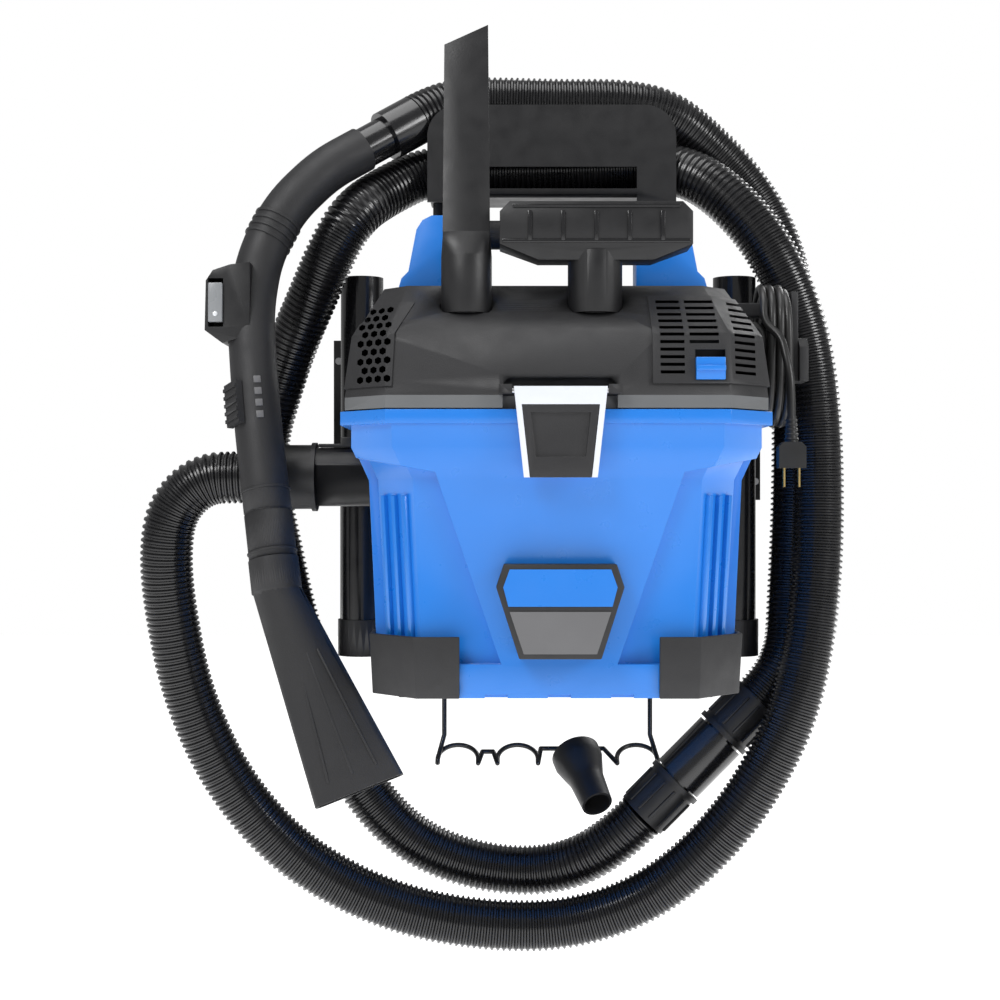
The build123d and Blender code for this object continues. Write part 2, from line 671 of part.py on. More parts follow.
def make_motor_stator():
    body = ring(0, MOTOR_Y, STATOR_Z, STATOR_Z + STATOR_HEIGHT, STATOR_R, STATOR_BORE)
    for angle in (0, 180):
        coil = Pos(0, MOTOR_Y, 0) * Rot(0, 0, angle) * box(
            -16, 16, 28, 38, STATOR_Z - 4, STATOR_Z + STATOR_HEIGHT + 4)
        body += coil
    return body


def make_motor_bearings():
    low = FAN_Z + 31
    high = STATOR_Z + STATOR_HEIGHT + 8
    lower = ring(0, MOTOR_Y, low, low + 6, SHAFT_R + 7, SHAFT_R + SHAFT_FIT)
    upper = ring(0, MOTOR_Y, high, high + 6, SHAFT_R + 7, SHAFT_R + SHAFT_FIT)
    bridge = box(-STATOR_R, STATOR_R, MOTOR_Y - 6, MOTOR_Y + 6, high, high + 3)
    legs = [box(x - 2, x + 2, MOTOR_Y - 6, MOTOR_Y + 6, high - 4, high)
            for x in (-STATOR_R + 1, STATOR_R - 1)]
    bridge = bridge + legs[0] + legs[1] - rod(0, MOTOR_Y, high - 9, high + 9, SHAFT_R + 7)
    return group(lower, upper, bridge)


def make_motor_shaft():
    return rod(0, MOTOR_Y, FAN_Z + 4, FAN_Z + 4 + SHAFT_LENGTH, SHAFT_R)


def make_armature():
    core = ring(0, MOTOR_Y, STATOR_Z + 1, STATOR_Z + STATOR_HEIGHT - 10, ARMATURE_R, SHAFT_R)
    commutator = ring(0, MOTOR_Y, STATOR_Z + STATOR_HEIGHT - 9, STATOR_Z + STATOR_HEIGHT + 5,
                      12, SHAFT_R)
    return group(core, commutator)


def make_fan_wheels():
    wheels = []
    for z in (FAN_Z + 5, FAN_Z + 16):
        plate = ring(0, MOTOR_Y, z, z + 1.5, FAN_R, SHAFT_R)
        cover = ring(0, MOTOR_Y, z + 8.5, z + 10, FAN_R, 20)
        hub = ring(0, MOTOR_Y, z, z + 10, 9, SHAFT_R)
        wheel = plate + cover + hub
        for index in range(6):
            blade = box(18, FAN_R - 2, -0.8, 0.8, 0, 8)
            wheel += Pos(0, MOTOR_Y, z + 1) * Rot(0, 0, index * 60) * blade
        wheels.append(wheel)
    return group(*wheels)


def make_motor_brushes():
    z = STATOR_Z + STATOR_HEIGHT - 5
    brushes = []
    for side in (-1, 1):
        near, far = side * (12 + RUN_GAP), side * 24
        brushes.append(box(near, far, MOTOR_Y - 3, MOTOR_Y + 3, z, z + 7))
    return group(*brushes)


def make_float_cage():
    top = LID_BASE_Z - 4
    body = ring(0, MOTOR_Y, CAGE_BOTTOM_Z, top + 8, CAGE_R, CAGE_R - CAGE_WALL)
    body += rod(0, MOTOR_Y, CAGE_BOTTOM_Z, CAGE_BOTTOM_Z + 3, CAGE_R)
    for index in range(3):
        slot = Pos(0, MOTOR_Y, 17) * Rot(0, 0, index * 60) * Box(24, 3 * CAGE_R, 56)
        body -= slot & rod(0, MOTOR_Y, -12, 45, CAGE_R + 5)
    body += rod(0, MOTOR_Y, FILTER_TOP_Z - FILTER_LENGTH - 7, CAGE_BOTTOM_Z + 1, 4)
    guide = ring(0, MOTOR_Y, CAGE_BOTTOM_Z + 2, CAGE_BOTTOM_Z + 12, 16, 13)
    return body + guide


def make_float_ball():
    seat = math.sqrt((FLOAT_R + FIT) ** 2 - 13 ** 2)
    return Pos(0, MOTOR_Y, CAGE_BOTTOM_Z + 12 + seat) * Sphere(FLOAT_R)


FILTER_TOP_Z = LID_BASE_Z - 8


def make_filter_cartridge():
    bottom = FILTER_TOP_Z - FILTER_LENGTH
    points = []
    for index in range(PLEATS * 2):
        angle = math.pi * index / PLEATS
        radius = FILTER_R - 2 if index % 2 == 0 else FILTER_R - 13
        points.append((radius * math.cos(angle), MOTOR_Y + radius * math.sin(angle), bottom + 3))
    pleat = extrude(make_face(Polyline(*points, close=True)), amount=FILTER_LENGTH - 6)
    caps = [ring(0, MOTOR_Y, z, z + 5, FILTER_R, FILTER_BORE)
            for z in (bottom, FILTER_TOP_Z - 5)]
    cap_floor = ring(0, MOTOR_Y, bottom, bottom + 3, FILTER_BORE + 1, 5)
    body = pleat + caps[0] + caps[1]
    body -= rod(0, MOTOR_Y, bottom - 1, FILTER_TOP_Z + 1, FILTER_BORE)
    return body + cap_floor


def make_filter_retainer():
    top = FILTER_TOP_Z - FILTER_LENGTH
    knob = rod(0, MOTOR_Y, top - 10, top, 26)
    for index in range(6):
        notch = Pos(0, MOTOR_Y, top - 6) * Rot(0, 0, index * 60) * Pos(29, 0, 0) * Cylinder(7, 10)
        knob -= notch
    return knob - rod(0, MOTOR_Y, top - 8, top + 1, 4.3)


# ---- switch, board, cord ---------------------------------------------------
CORD_EXIT_X = 144.0
CORD_EXIT_Y = -196.0
CORD_EXIT_Z = 150.0
HANK_Y = -166.0
HANK_X, HANK_THICK = 191.5, 31.0
HANK_TOP_Z, HANK_BOTTOM_Z = 190.0, 62.0
HANK_HALF_DEPTH = 38.0
HANK_LAYER = 15.0
HOOK_FLANGE_X = 214.0
HOOK_ARM_Z = 103.0


def make_power_switch():
    front = lid_front_y(SWITCH_Z0) - PANEL_THICK - 2
    knob = box(SWITCH_X - SWITCH_W / 2, SWITCH_X + SWITCH_W / 2, front, TANK_FRONT_Y + 16,
               SWITCH_Z0, SWITCH_Z0 + SWITCH_H)
    ridge = box(SWITCH_X - SWITCH_W / 2, SWITCH_X + SWITCH_W / 2, front - 2.5, front + 1,
                SWITCH_Z0 + 7, SWITCH_Z0 + 11)
    return knob + ridge


def make_switch_housing():
    y0 = TANK_FRONT_Y + 16 + FIT
    return box(SWITCH_X - 16, SWITCH_X + 16, y0, y0 + 24, DECK_Z, SWITCH_Z0 + 32)


def make_receiver_board():
    board = box(-120, -80, -262, -222, DECK_Z + 6, DECK_Z + 8)
    chip = box(-112, -92, -252, -236, DECK_Z + 8, DECK_Z + 16)
    feet = [box(x - 2, x + 2, y - 2, y + 2, DECK_Z, DECK_Z + 6)
            for x in (-118, -82) for y in (-260, -224)]
    body = board + chip
    for foot in feet:
        body += foot
    return body


def lid_side_x(z):
    """Right side face of the lid at a height."""
    low, mid, top = LID_ROWS
    a, b = (low, mid) if z < LID_CREASE_Z else (mid, top)
    return a[0] + (z - a[-1]) / (b[-1] - a[-1]) * (b[0] - a[0])


def make_cord_hook():
    """Arms on the right side of the lid that the wound cord hangs on."""
    z0, x1 = HOOK_ARM_Z, HOOK_FLANGE_X
    foot_x = lid_side_x(z0 + 7) - 1.5
    peg_top = HANK_TOP_Z - HANK_LAYER - 3.7
    arm = box(foot_x, x1, HANK_Y - 12, HANK_Y + 12, z0, z0 + 15)
    flange = box(x1, x1 + 8, HANK_Y - 18, HANK_Y + 18, z0, z0 + 38)
    flange = chamfer(flange.edges().filter_by(Axis.X).group_by(Axis.Z)[-1], 8)
    # peg under the top of the winding, tied to the flange outside it
    peg = box(foot_x - 20, x1, HANK_Y - 12, HANK_Y + 12, peg_top - 11, peg_top)
    stop = box(x1 - 6, x1, HANK_Y - 12, HANK_Y + 12, z0, peg_top + 10)
    return arm + flange + peg + stop - stack(LID_ROWS)


def make_cord_relief():
    body = rod_x(CORD_EXIT_X - 6, CORD_EXIT_X + 4, CORD_EXIT_Y, CORD_EXIT_Z, 6.0)
    tip = Pos(CORD_EXIT_X + 4, CORD_EXIT_Y, CORD_EXIT_Z) * Rot(0, 90, 0) * Pos(
        0, 0, 11) * Cone(6.0, 4.4, 22)
    return body + tip


def make_cord_hank():
    """Outer shape of the wound cord: an oval ring beside the lid."""
    outer = hank_oval(0.0)
    inner = hank_oval(-HANK_LAYER)
    return outer - inner


def hank_oval(grow):
    radius = HANK_HALF_DEPTH + grow
    top, low = HANK_TOP_Z - HANK_HALF_DEPTH, HANK_BOTTOM_Z + HANK_HALF_DEPTH
    x0, x1 = HANK_X - HANK_THICK / 2, HANK_X + HANK_THICK / 2
    body = box(x0, x1, HANK_Y - radius, HANK_Y + radius, low, top)
    body += rod_x(x0, x1, HANK_Y, top, radius)
    return body + rod_x(x0, x1, HANK_Y, low, radius)


PLUG_X, PLUG_Y = 201.0, -220.0
PLUG_TOP_Z, PLUG_BOTTOM_Z = 49.0, 27.0


def make_plug_body():
    body = box(PLUG_X - 11.5, PLUG_X + 11.5, PLUG_Y - 7.5, PLUG_Y + 7.5, PLUG_BOTTOM_Z, PLUG_TOP_Z)
    upper = body.edges().filter_by(Axis.Y).group_by(Axis.Z)[-1]
    body = chamfer(upper, 4)
    relief = Pos(PLUG_X, PLUG_Y, PLUG_TOP_Z + 11) * Cone(5.6, 4.0, 22)
    return body + relief


def make_plug_blades():
    blades = [box(PLUG_X + side * 6.35 - 0.75, PLUG_X + side * 6.35 + 0.75,
                  PLUG_Y - 3.2, PLUG_Y + 3.2, PLUG_BOTTOM_Z - 16, PLUG_BOTTOM_Z)
              for side in (-1, 1)]
    return group(*blades)


# ---- latch -----------------------------------------------------------------
def latch_outline(inset, top, bottom):
    span = LATCH_TOP_Z - LATCH_BOTTOM_Z

    def half(z):
        share = (z - LATCH_BOTTOM_Z) / span
        return (LATCH_BOTTOM_W + share * (LATCH_TOP_W - LATCH_BOTTOM_W)) / 2 - inset

    return [(LATCH_X - half(top), top), (LATCH_X + half(top), top),
            (LATCH_X + half(bottom), bottom), (LATCH_X - half(bottom), bottom)]


INSERT_TOP_Z = 74.0


def make_latch_frame():
    back = LATCH_FRONT_Y + LATCH_THICK
    body = prism_xz(latch_outline(0, LATCH_TOP_Z, LATCH_BOTTOM_Z), LATCH_FRONT_Y, back)
    pocket = prism_xz(latch_outline(4.5, INSERT_TOP_Z, LATCH_BOTTOM_Z - 5),
                      LATCH_FRONT_Y - 1, back - 3)
    knuckle = rod_x(LATCH_X - 35, LATCH_X + 35, back, LATCH_PIN_Z, 3.0)
    body = body + knuckle - pocket
    return body - rod_x(LATCH_X - 60, LATCH_X + 60, back, LATCH_PIN_Z, LATCH_PIN_R + 0.05)


def make_latch_insert():
    back = LATCH_FRONT_Y + LATCH_THICK - 3
    body = prism_xz(latch_outline(4.5, INSERT_TOP_Z, LATCH_BOTTOM_Z), LATCH_FRONT_Y + 0.6, back)
    scoop = prism_xz(latch_outline(11, INSERT_TOP_Z - 6, LATCH_BOTTOM_Z + 16),
                     LATCH_FRONT_Y - 1, LATCH_FRONT_Y + 4)
    return body - scoop


def make_latch_pin():
    return rod_x(LATCH_X - 47, LATCH_X + 47, LATCH_FRONT_Y + LATCH_THICK, LATCH_PIN_Z, LATCH_PIN_R)


# ---- stored tools ----------------------------------------------------------
def make_crevice_tool():
    """Round socket that flattens into a long slanted blade."""
    x, y = CREVICE_X, TOOL_Y
    socket = rod(x, y, POCKET_Z + FIT, 196, 20.5)
    blend = loft([Pos(x, y, 196) * Circle(20.5), Pos(x, y, 216) * Rectangle(38, 22)])
    blade = loft([Pos(x, y, 216) * Rectangle(38, 22), Pos(x, y, 382) * Rectangle(35, 17)])
    tip = prism_xz([(x - 22, 364), (x + 22, 384), (x + 22, 400), (x - 22, 400)], y - 30, y + 30)
    bore = rod(x, y, POCKET_Z - 1, 190, PEG_R + FIT)
    throat = loft([Pos(x, y, 188) * Rectangle(30, 16), Pos(x, y, 390) * Rectangle(30, 12)])
    return socket + blend + blade - tip - bore - throat


def make_utility_nozzle():
    x, y = UTILITY_X, TOOL_Y
    neck = rod(x, y, POCKET_Z + FIT, 200, 22)
    head = loft([Pos(x, y, 192) * Rectangle(92, 34), Pos(x, y, 204) * Rectangle(154, 44)])
    lip = Pos(x, y, 204 + 17) * Box(154, 44, 34)
    ends = lip.edges().filter_by(Axis.Y)
    lip = chamfer(ends.group_by(Axis.Z)[-1], 8)
    body = neck + head + lip
    cavity = Pos(x, y, 226) * Box(144, 34, 30)
    return body - cavity - rod(x, y, POCKET_Z - 1, 230, PEG_R + FIT)


BLOWER_AXIS = (0.27, -0.76, -0.59)
BLOWER_ROOT = (24.0, 5.0)  # where its wire peg leaves the rack: x, run down the slope
BLOWER_PEG = (13.8, 36.0)  # half width and length of the peg
BLOWER_DROP = 3.0          # nozzle hangs this far under the middle of the peg
BLOWER_START = 10.5


def rack_spot(x, run):
    """Point on the sloping plane of the rack's loops."""
    tilt = math.radians(RACK_TILT)
    return (x, RACK_Y - run * math.cos(tilt), RACK_BACK_Z - run * math.sin(tilt))


def blower_frame():
    """Root of the peg, direction of the nozzle, sideways and upward directions."""
    axis = Vector(*BLOWER_AXIS).normalized()
    across = Vector(1, 0, 0) - axis * axis.X
    return Vector(*rack_spot(*BLOWER_ROOT)), axis, across.normalized(), across.cross(axis).normalized()


def blower_body(grow, extra):
    root, axis, _, up = blower_frame()
    top = root + axis * BLOWER_START - up * BLOWER_DROP
    stations = [(0 - extra, 23.3), (10, 23.3), (34, 16.5), (66 + extra, 14.5)]
    rings = []
    for distance, radius in stations:
        plane = Plane(origin=top + axis * distance, z_dir=axis)
        rings.append(plane * Circle(radius + grow))
    body = loft([rings[0], rings[1]], ruled=True)
    for a, b in zip(rings[1:-1], rings[2:]):
        body += loft([a, b], ruled=True)
    return body


def make_blower_nozzle():
    return blower_body(0.0, 0.0) - blower_body(-2.2, 0.5)


def make_extension_wand(side):
    x = side * EXT_WAND_X
    low = PLATE_BOTTOM_Z + CUP_FLOOR
    return ring(x, EXT_WAND_Y, low, EXT_WAND_TOP, EXT_WAND_R, EXT_WAND_R - WAND_WALL)


# ---- hose routes -----------------------------------------------------------
# Each route is the hand-laid line of the hose's centre: (x, y, z).
UPPER_HOSE = [
    (-124, -77, 352), (-96, -64, 370.5), (-50, -62, 372), (10, -62, 370),
    (70, -60, 371), (113, -54, 363), (148, -43, 338), (181, -37, 307),
    (209, -35, 267), (227, -38, 216), (234, -42, 150), (235, -46, 80),
    (234, -48, 10), (232, -48, -50), (229, -51, -100), (226, -59, -138),
    (211.95, -66, -167.88), (194, -66, -186),
]
LOWER_HOSE = [
    (87, -66, -294), (58.14, -66, -323.13), (5, -59, -346), (-60, -52, -347),
    (-122, -50, -326), (-167, -50, -284), (-202, -50, -222), (-226, -50, -160),
    (-243, -50, -100), (-255, -48, -45), (-267, -48, 10), (-268, -50, 58),
    (-255, -58, 100), (-239, -70, 145), (-217, -86, 190), (-198, -97, 232),
    (-178, -97, 264), (-152, -72, 287), (-112, -55, 310), (-48, -54, 309),
    (28, -55, 310), (100, -59, 312.5), (136, -79, 301), (168, -91, 274),
    (197, -98, 238), (220, -99, 193), (236, -98, 140), (244, -98, 78),
    (246, -99, 10), (244, -103, -60), (236, -109, -130), (221, -113, -192),
    (198, -111, -243), (167, -106, -292), (125, -100, -338), (75, -96, -372),
    (12, -92, -391), (-55, -93, -391), (-125, -95, -379), (-190, -98, -353),
    (-249, -104, -311), (-297, -112, -248), (-328, -122, -173), (-341, -132, -98),
    (-344, -139, -49), (-338, -142, -8), (-311, -142, 19), (-276, -142, 20.5),
    (-241, -142, 20.5),
]


# ---- curved wand and its fittings ------------------------------------------
def unit(start, end):
    return (Vector(*end) - Vector(*start)).normalized()


def before_hose(distance):
    """Point on the upper hose's own line, ahead of its first point."""
    start = Vector(*UPPER_HOSE[0])
    return tuple(start - unit(UPPER_HOSE[0], UPPER_HOSE[1]) * distance)


CUFF_LENGTH = 34.0
SPIGOT_LENGTH = 27.0
WAND_ROUTE = [
    before_hose(CUFF_LENGTH + SPIGOT_LENGTH), (-204, -114, 299.2), (-238, -128, 263),
    (-259, -143, 217), (-265, -161, 165), (-259, -178, 104), (-254, -189, 62), (-247.8, -199, 19),
]
WAND_LOW_END = (-237.8, -215.1, -50.4)
FAN_END = (-161.0, -258.0, -240.0)


def make_wand_handle():
    tube, _, _ = swept(WAND_ROUTE, WAND_R, WAND_R - WAND_WALL)
    return tube


def make_wand_spigot():
    """Straight lower tube of the wand with the ring joint on top."""
    start = WAND_ROUTE[-1]
    body = rod_between(start, WAND_LOW_END, WAND_R)
    along = unit(start, WAND_LOW_END)
    seam = Vector(*start) + along * 30
    groove = rod_between(seam, seam + along * 2.4, WAND_R + 2)
    groove -= rod_between(seam, seam + along * 2.4, WAND_R - 0.8)
    low = Vector(*WAND_LOW_END)
    bore = rod_between(Vector(*start) - along, low - along * 6, WAND_R - WAND_WALL)
    spigot = rod_between(low - along * 2, low + along * 24, WAND_R - WAND_WALL)
    spigot_bore = rod_between(low - along * 8, low + along * 25, WAND_R - 5)
    return body + spigot - groove - bore - spigot_bore


def make_fan_nozzle():
    start = Vector(*WAND_LOW_END)
    wand_axis = unit(WAND_ROUTE[-1], WAND_LOW_END)
    socket = rod_between(start + wand_axis * FIT, start + wand_axis * 28, WAND_R + 0.8)
    mouth = Vector(*FAN_END)
    axis = (mouth - start).normalized()
    side = Vector(1, 0, 0)
    flat = (side - axis * side.dot(axis)).normalized()
    begin = start + wand_axis * 26
    round_face = Plane(origin=begin, x_dir=flat, z_dir=wand_axis) * Circle(WAND_R)
    wide = Plane(origin=mouth, x_dir=flat, z_dir=axis) * RectangleRounded(77, 22, 6)
    body = loft([round_face, wide])
    inner_round = Plane(origin=begin, x_dir=flat, z_dir=wand_axis) * Circle(WAND_R - 2.6)
    past = Plane(origin=mouth + axis * 1.0, x_dir=flat, z_dir=axis)
    inner = loft([inner_round, past * RectangleRounded(72, 17, 5)])
    bore = rod_between(start - wand_axis, start + wand_axis * 27, WAND_R - WAND_WALL + FIT / 2)
    return socket + body - inner - bore


def make_handle_cuff():
    """Cuff on the end of the upper hose, pushed on the wand's spigot."""
    route = (WAND_ROUTE[0], before_hose(CUFF_LENGTH), UPPER_HOSE[0])
    start, middle, end = (Vector(*p) for p in route)
    axis = (end - middle).normalized()
    thin = rod_between(start, middle, WAND_R - 2.2)
    thick = rod_between(middle, end, CUFF_R)
    bore = rod_between(start - axis, end + axis, WAND_R - 5)
    return thin + thick - bore


# battery pod of the remote control, on the left of the wand: x, y, z limits
POD_POCKET = (-298.0, -285.0, -188.0, -160.0, 150.0, 192.0)


def make_remote_housing():
    outline = [(-262, 206), (-279, 204), (-294, 199), (-300, 190), (-301, 147),
               (-286, 136), (-262, 143)]
    body = prism_xz(outline, -186, -146)
    tube, _, _ = swept(WAND_ROUTE, WAND_R)
    return body - tube - box(*POD_POCKET)


def make_remote_button():
    x0, x1, y0, _, z0, z1 = POD_POCKET
    return box(x0 + FIT, x1 - FIT, y0 - 1, y0 + 6, z0 + 4, z1 - 4)


def make_remote_battery():
    x0, x1, _, y1, z0, z1 = POD_POCKET
    return box(x0 + 1, x1 - 1, y1 - 12, y1, z0 + 5, z1 - 5)


def make_bleed_slider():
    start, end = Vector(*WAND_ROUTE[5]), Vector(*WAND_ROUTE[6])
    axis = (end - start).normalized()
    middle = start + axis * 24
    out = Vector(-0.77, -0.64, 0)
    out = (out - axis * axis.dot(out)).normalized()
    plane = Plane(origin=middle, x_dir=out, z_dir=axis)
    base = plane * Pos(WAND_R + 1.6, 0, 0) * Box(6, 20, 38)
    for step in range(5):
        rib = plane * Pos(WAND_R + 4, 0, -14 + step * 7) * Box(4, 20, 3)
        base += rib
    tube, _, _ = swept(WAND_ROUTE, WAND_R + 0.6)
    return base - tube


# ---- hoses -----------------------------------------------------------------
COUPLER_A = UPPER_HOSE[-1]
COUPLER_B = LOWER_HOSE[0]
COUPLER_CUFF = 46.0


def coupler_spot(distance):
    start = Vector(*COUPLER_A)
    return start + (Vector(*COUPLER_B) - start).normalized() * distance


def coupler_length():
    return (Vector(*COUPLER_B) - Vector(*COUPLER_A)).length


def make_coupler_cuffs():
    length = coupler_length()
    cuffs = []
    for start, end, flange in ((0, COUPLER_CUFF, COUPLER_CUFF),
                               (length - COUPLER_CUFF, length, length - COUPLER_CUFF)):
        body = rod_between(coupler_spot(start), coupler_spot(end), CUFF_R + 1.5)
        inward = 1 if flange == COUPLER_CUFF else -1
        near, far = sorted((flange, flange - inward * 5))
        body += rod_between(coupler_spot(near), coupler_spot(far), CUFF_R + 4)
        inner = sorted((flange + inward, flange - inward * 26))
        body -= rod_between(coupler_spot(inner[0]), coupler_spot(inner[1]), WAND_R + 0.1)
        body -= rod_between(coupler_spot(start - 1), coupler_spot(end + 1), HOSE_BORE - 1)
        cuffs.append(body)
    return group(*cuffs)


def make_hose_coupler():
    length = coupler_length()
    low, high = COUPLER_CUFF - 24, length - COUPLER_CUFF + 24
    body = rod_between(coupler_spot(low), coupler_spot(high), WAND_R)
    body += rod_between(coupler_spot(COUPLER_CUFF + 2), coupler_spot(length - COUPLER_CUFF - 2),
                        CUFF_R + 2)
    return body - rod_between(coupler_spot(low - 1), coupler_spot(high + 1), HOSE_BORE - 1)


# mains lead: a short link from the strain relief to the winding, and the plug end
PLUG_ROUTE = [
    (194, -208, 140), (197, -215, 124), (200, -219, 107), (PLUG_X, PLUG_Y, 89),
    (PLUG_X, PLUG_Y, PLUG_TOP_Z + 22),
]


def make_power_cord():
    link = rod_x(CORD_EXIT_X + 26, HANK_X - HANK_THICK / 2, CORD_EXIT_Y, CORD_EXIT_Z, CORD_R)
    return group(link, cord_tube("plug end of the cord", PLUG_ROUTE, CORD_R))


save(make_tank(), "tank")
save(make_corner_feet(), "corner_feet")
save(make_badge(), "tank_badge")
save(make_seal(), "tank_seal")
save(make_inlet_spout(), "inlet_spout")
save(make_inlet_clip(), "inlet_clip")
save(make_inlet_cuff(), "inlet_cuff")
save(make_wall_plate(), "wall_plate")
save(make_side_columns(), "side_columns")
save(make_bracket_screws(), "bracket_screws")
save(make_hose_hanger(), "hose_hanger")
save(make_wire_rack(), "wire_rack")
save(make_lid_shell(), "lid_shell")
save(make_lid_base(), "lid_base")
save(make_vent_panel(), "vent_panel")
save(make_mesh_grille(), "mesh_grille")
save(make_tool_posts(), "tool_posts")
save(make_handle_frame(), "handle_frame")
save(make_handle_grip(), "handle_grip")
save(make_lid_screws(), "lid_screws")
save(make_motor_housing(), "motor_housing")
save(make_motor_stator(), "motor_stator")
save(make_motor_bearings(), "motor_bearings")
save(make_motor_shaft(), "motor_shaft")
save(make_armature(), "armature")
save(make_fan_wheels(), "fan_wheels")
save(make_motor_brushes(), "motor_brushes")
save(make_float_cage(), "float_cage")
save(make_float_ball(), "float_ball")
save(make_filter_cartridge(), "filter_cartridge")
save(make_filter_retainer(), "filter_retainer")
save(make_power_switch(), "power_switch")
save(make_switch_housing(), "switch_housing")
save(make_receiver_board(), "receiver_board")
save(make_cord_hook(), "cord_hook")
save(make_cord_relief(), "cord_relief")
save(make_cord_hank(), "cord_hank")
save(make_power_cord(), "power_cord")
save(make_plug_body(), "plug_body")
save(make_plug_blades(), "plug_blades")
save(make_latch_frame(), "latch_frame")
save(make_latch_insert(), "latch_insert")
save(make_latch_pin(), "latch_pin")
save(make_crevice_tool(), "crevice_tool")
save(make_utility_nozzle(), "utility_nozzle")
save(make_blower_nozzle(), "blower_nozzle")
for side, name in ((-1, "left_wand"), (1, "right_wand")):
    save(make_extension_wand(side), name)
save(make_wand_handle(), "wand_handle")
save(make_wand_spigot(), "wand_lower_tube")
save(make_fan_nozzle(), "fan_nozzle")
save(make_handle_cuff(), "handle_cuff")
save(make_remote_housing(), "remote_housing")
save(make_remote_button(), "remote_button")
save(make_remote_battery(), "remote_battery")
save(make_bleed_slider(), "bleed_slider")
save(cord_tube("upper hose", UPPER_HOSE, HOSE_R, HOSE_BORE), "upper_hose")
save(cord_tube("lower hose", LOWER_HOSE, HOSE_R, HOSE_BORE), "lower_hose")
save(make_coupler_cuffs(), "coupler_cuffs")
save(make_hose_coupler(), "hose_coupler")
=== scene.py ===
import json
import math
import bpy
import bmesh
from mathutils import Matrix, Vector


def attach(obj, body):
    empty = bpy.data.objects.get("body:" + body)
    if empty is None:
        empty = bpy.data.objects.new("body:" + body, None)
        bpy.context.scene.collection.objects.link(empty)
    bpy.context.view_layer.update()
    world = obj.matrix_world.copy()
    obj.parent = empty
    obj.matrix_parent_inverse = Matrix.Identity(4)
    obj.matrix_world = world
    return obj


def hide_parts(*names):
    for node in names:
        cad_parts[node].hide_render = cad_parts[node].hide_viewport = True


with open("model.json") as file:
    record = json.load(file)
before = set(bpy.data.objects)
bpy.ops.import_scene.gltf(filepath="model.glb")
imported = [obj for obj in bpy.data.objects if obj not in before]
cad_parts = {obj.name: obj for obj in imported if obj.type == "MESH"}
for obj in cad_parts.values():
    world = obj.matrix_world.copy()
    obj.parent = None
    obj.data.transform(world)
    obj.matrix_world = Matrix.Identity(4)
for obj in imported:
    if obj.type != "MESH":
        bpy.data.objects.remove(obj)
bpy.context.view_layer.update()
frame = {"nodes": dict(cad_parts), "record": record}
nodes = frame["nodes"]
print("frame loaded")


def metres(points):
    return [tuple(value / 1000 for value in point) for point in points]


# camera, floor and light
view = {"place": (-0.0454, -1.7, 0.0), "lens": 63.0, "sensor": 36.0, "farEnd": 50.0,
        "floor": -0.6, "floorHalf": 6.0, "floorGlow": 0.85, "worldLight": 0.36,
        "aim": (0, -0.2, 0)}
# name: place, size, power
lamps = {
    "keyLamp": ((-1.1, -1.6, 1.5), 0.8, 24.0), "fillLamp": ((1.5, -1.2, 0.7), 0.6, 13.0),
    "topLamp": ((0.0, -0.4, 1.8), 1.2, 14.0), "rimLamp": ((0.9, 1.2, 0.9), 0.9, 10.0),
}


def makeStage():
    scene = bpy.context.scene
    camera = bpy.data.objects.new("camera", bpy.data.cameras.new("camera"))
    camera.data.lens = view["lens"]
    camera.data.sensor_width = view["sensor"]
    camera.data.clip_end = view["farEnd"]
    camera.location = view["place"]
    camera.rotation_euler = (math.radians(90), 0, 0)
    scene.collection.objects.link(camera)
    scene.camera = camera
    scene.view_settings.view_transform = "Standard"
    world = bpy.data.worlds.new("studio")
    scene.world = world
    world.use_nodes = True
    background = world.node_tree.nodes["Background"]
    background.inputs["Color"].default_value = (1, 1, 1, 1)
    # the backdrop is white, and the light it throws on the object is softer
    ray = world.node_tree.nodes.new("ShaderNodeLightPath")
    level = world.node_tree.nodes.new("ShaderNodeMapRange")
    level.inputs["To Min"].default_value = view["worldLight"]
    level.inputs["To Max"].default_value = 1.0
    world.node_tree.links.new(ray.outputs["Is Camera Ray"], level.inputs["Value"])
    world.node_tree.links.new(level.outputs["Result"], background.inputs["Strength"])
    mesh = bmesh.new()
    bmesh.ops.create_grid(mesh, x_segments=2, y_segments=2, size=view["floorHalf"])
    bmesh.ops.translate(mesh, verts=mesh.verts, vec=(0, 0, view["floor"]))
    data = bpy.data.meshes.new("floor")
    mesh.to_mesh(data)
    mesh.free()
    floor = bpy.data.objects.new("floor", data)
    scene.collection.objects.link(floor)
    paint = bpy.data.materials.new("paleFloor")
    paint.use_nodes = True
    surface = paint.node_tree.nodes["Principled BSDF"]
    surface.inputs["Base Color"].default_value = (0.96, 0.96, 0.96, 1)
    surface.inputs["Roughness"].default_value = 0.7
    surface.inputs["Emission Color"].default_value = (1, 1, 1, 1)
    surface.inputs["Emission Strength"].default_value = view["floorGlow"]
    floor.data.materials.append(paint)
    for name, (place, size, power) in lamps.items():
        lamp = bpy.data.lights.new(name, "AREA")
        lamp.size = size
        lamp.energy = power
        item = bpy.data.objects.new(name, lamp)
        item.location = place
        toAim = Vector(view["aim"]) - Vector(place)
        item.rotation_euler = toAim.to_track_quat("-Z", "Y").to_euler()
        scene.collection.objects.link(item)


makeStage()
print("camera and light ready")


# finishes
def makeGroup(name, inputs, outputs):
    group = bpy.data.node_groups.new(name, "ShaderNodeTree")
    for label, kind, value in inputs:
        socket = group.interface.new_socket(label, in_out="INPUT", socket_type=kind)
        socket.default_value = value
    for label, kind in outputs:
        group.interface.new_socket(label, in_out="OUTPUT", socket_type=kind)
    start = group.nodes.new("NodeGroupInput")
    end = group.nodes.new("NodeGroupOutput")
    return group, start, end


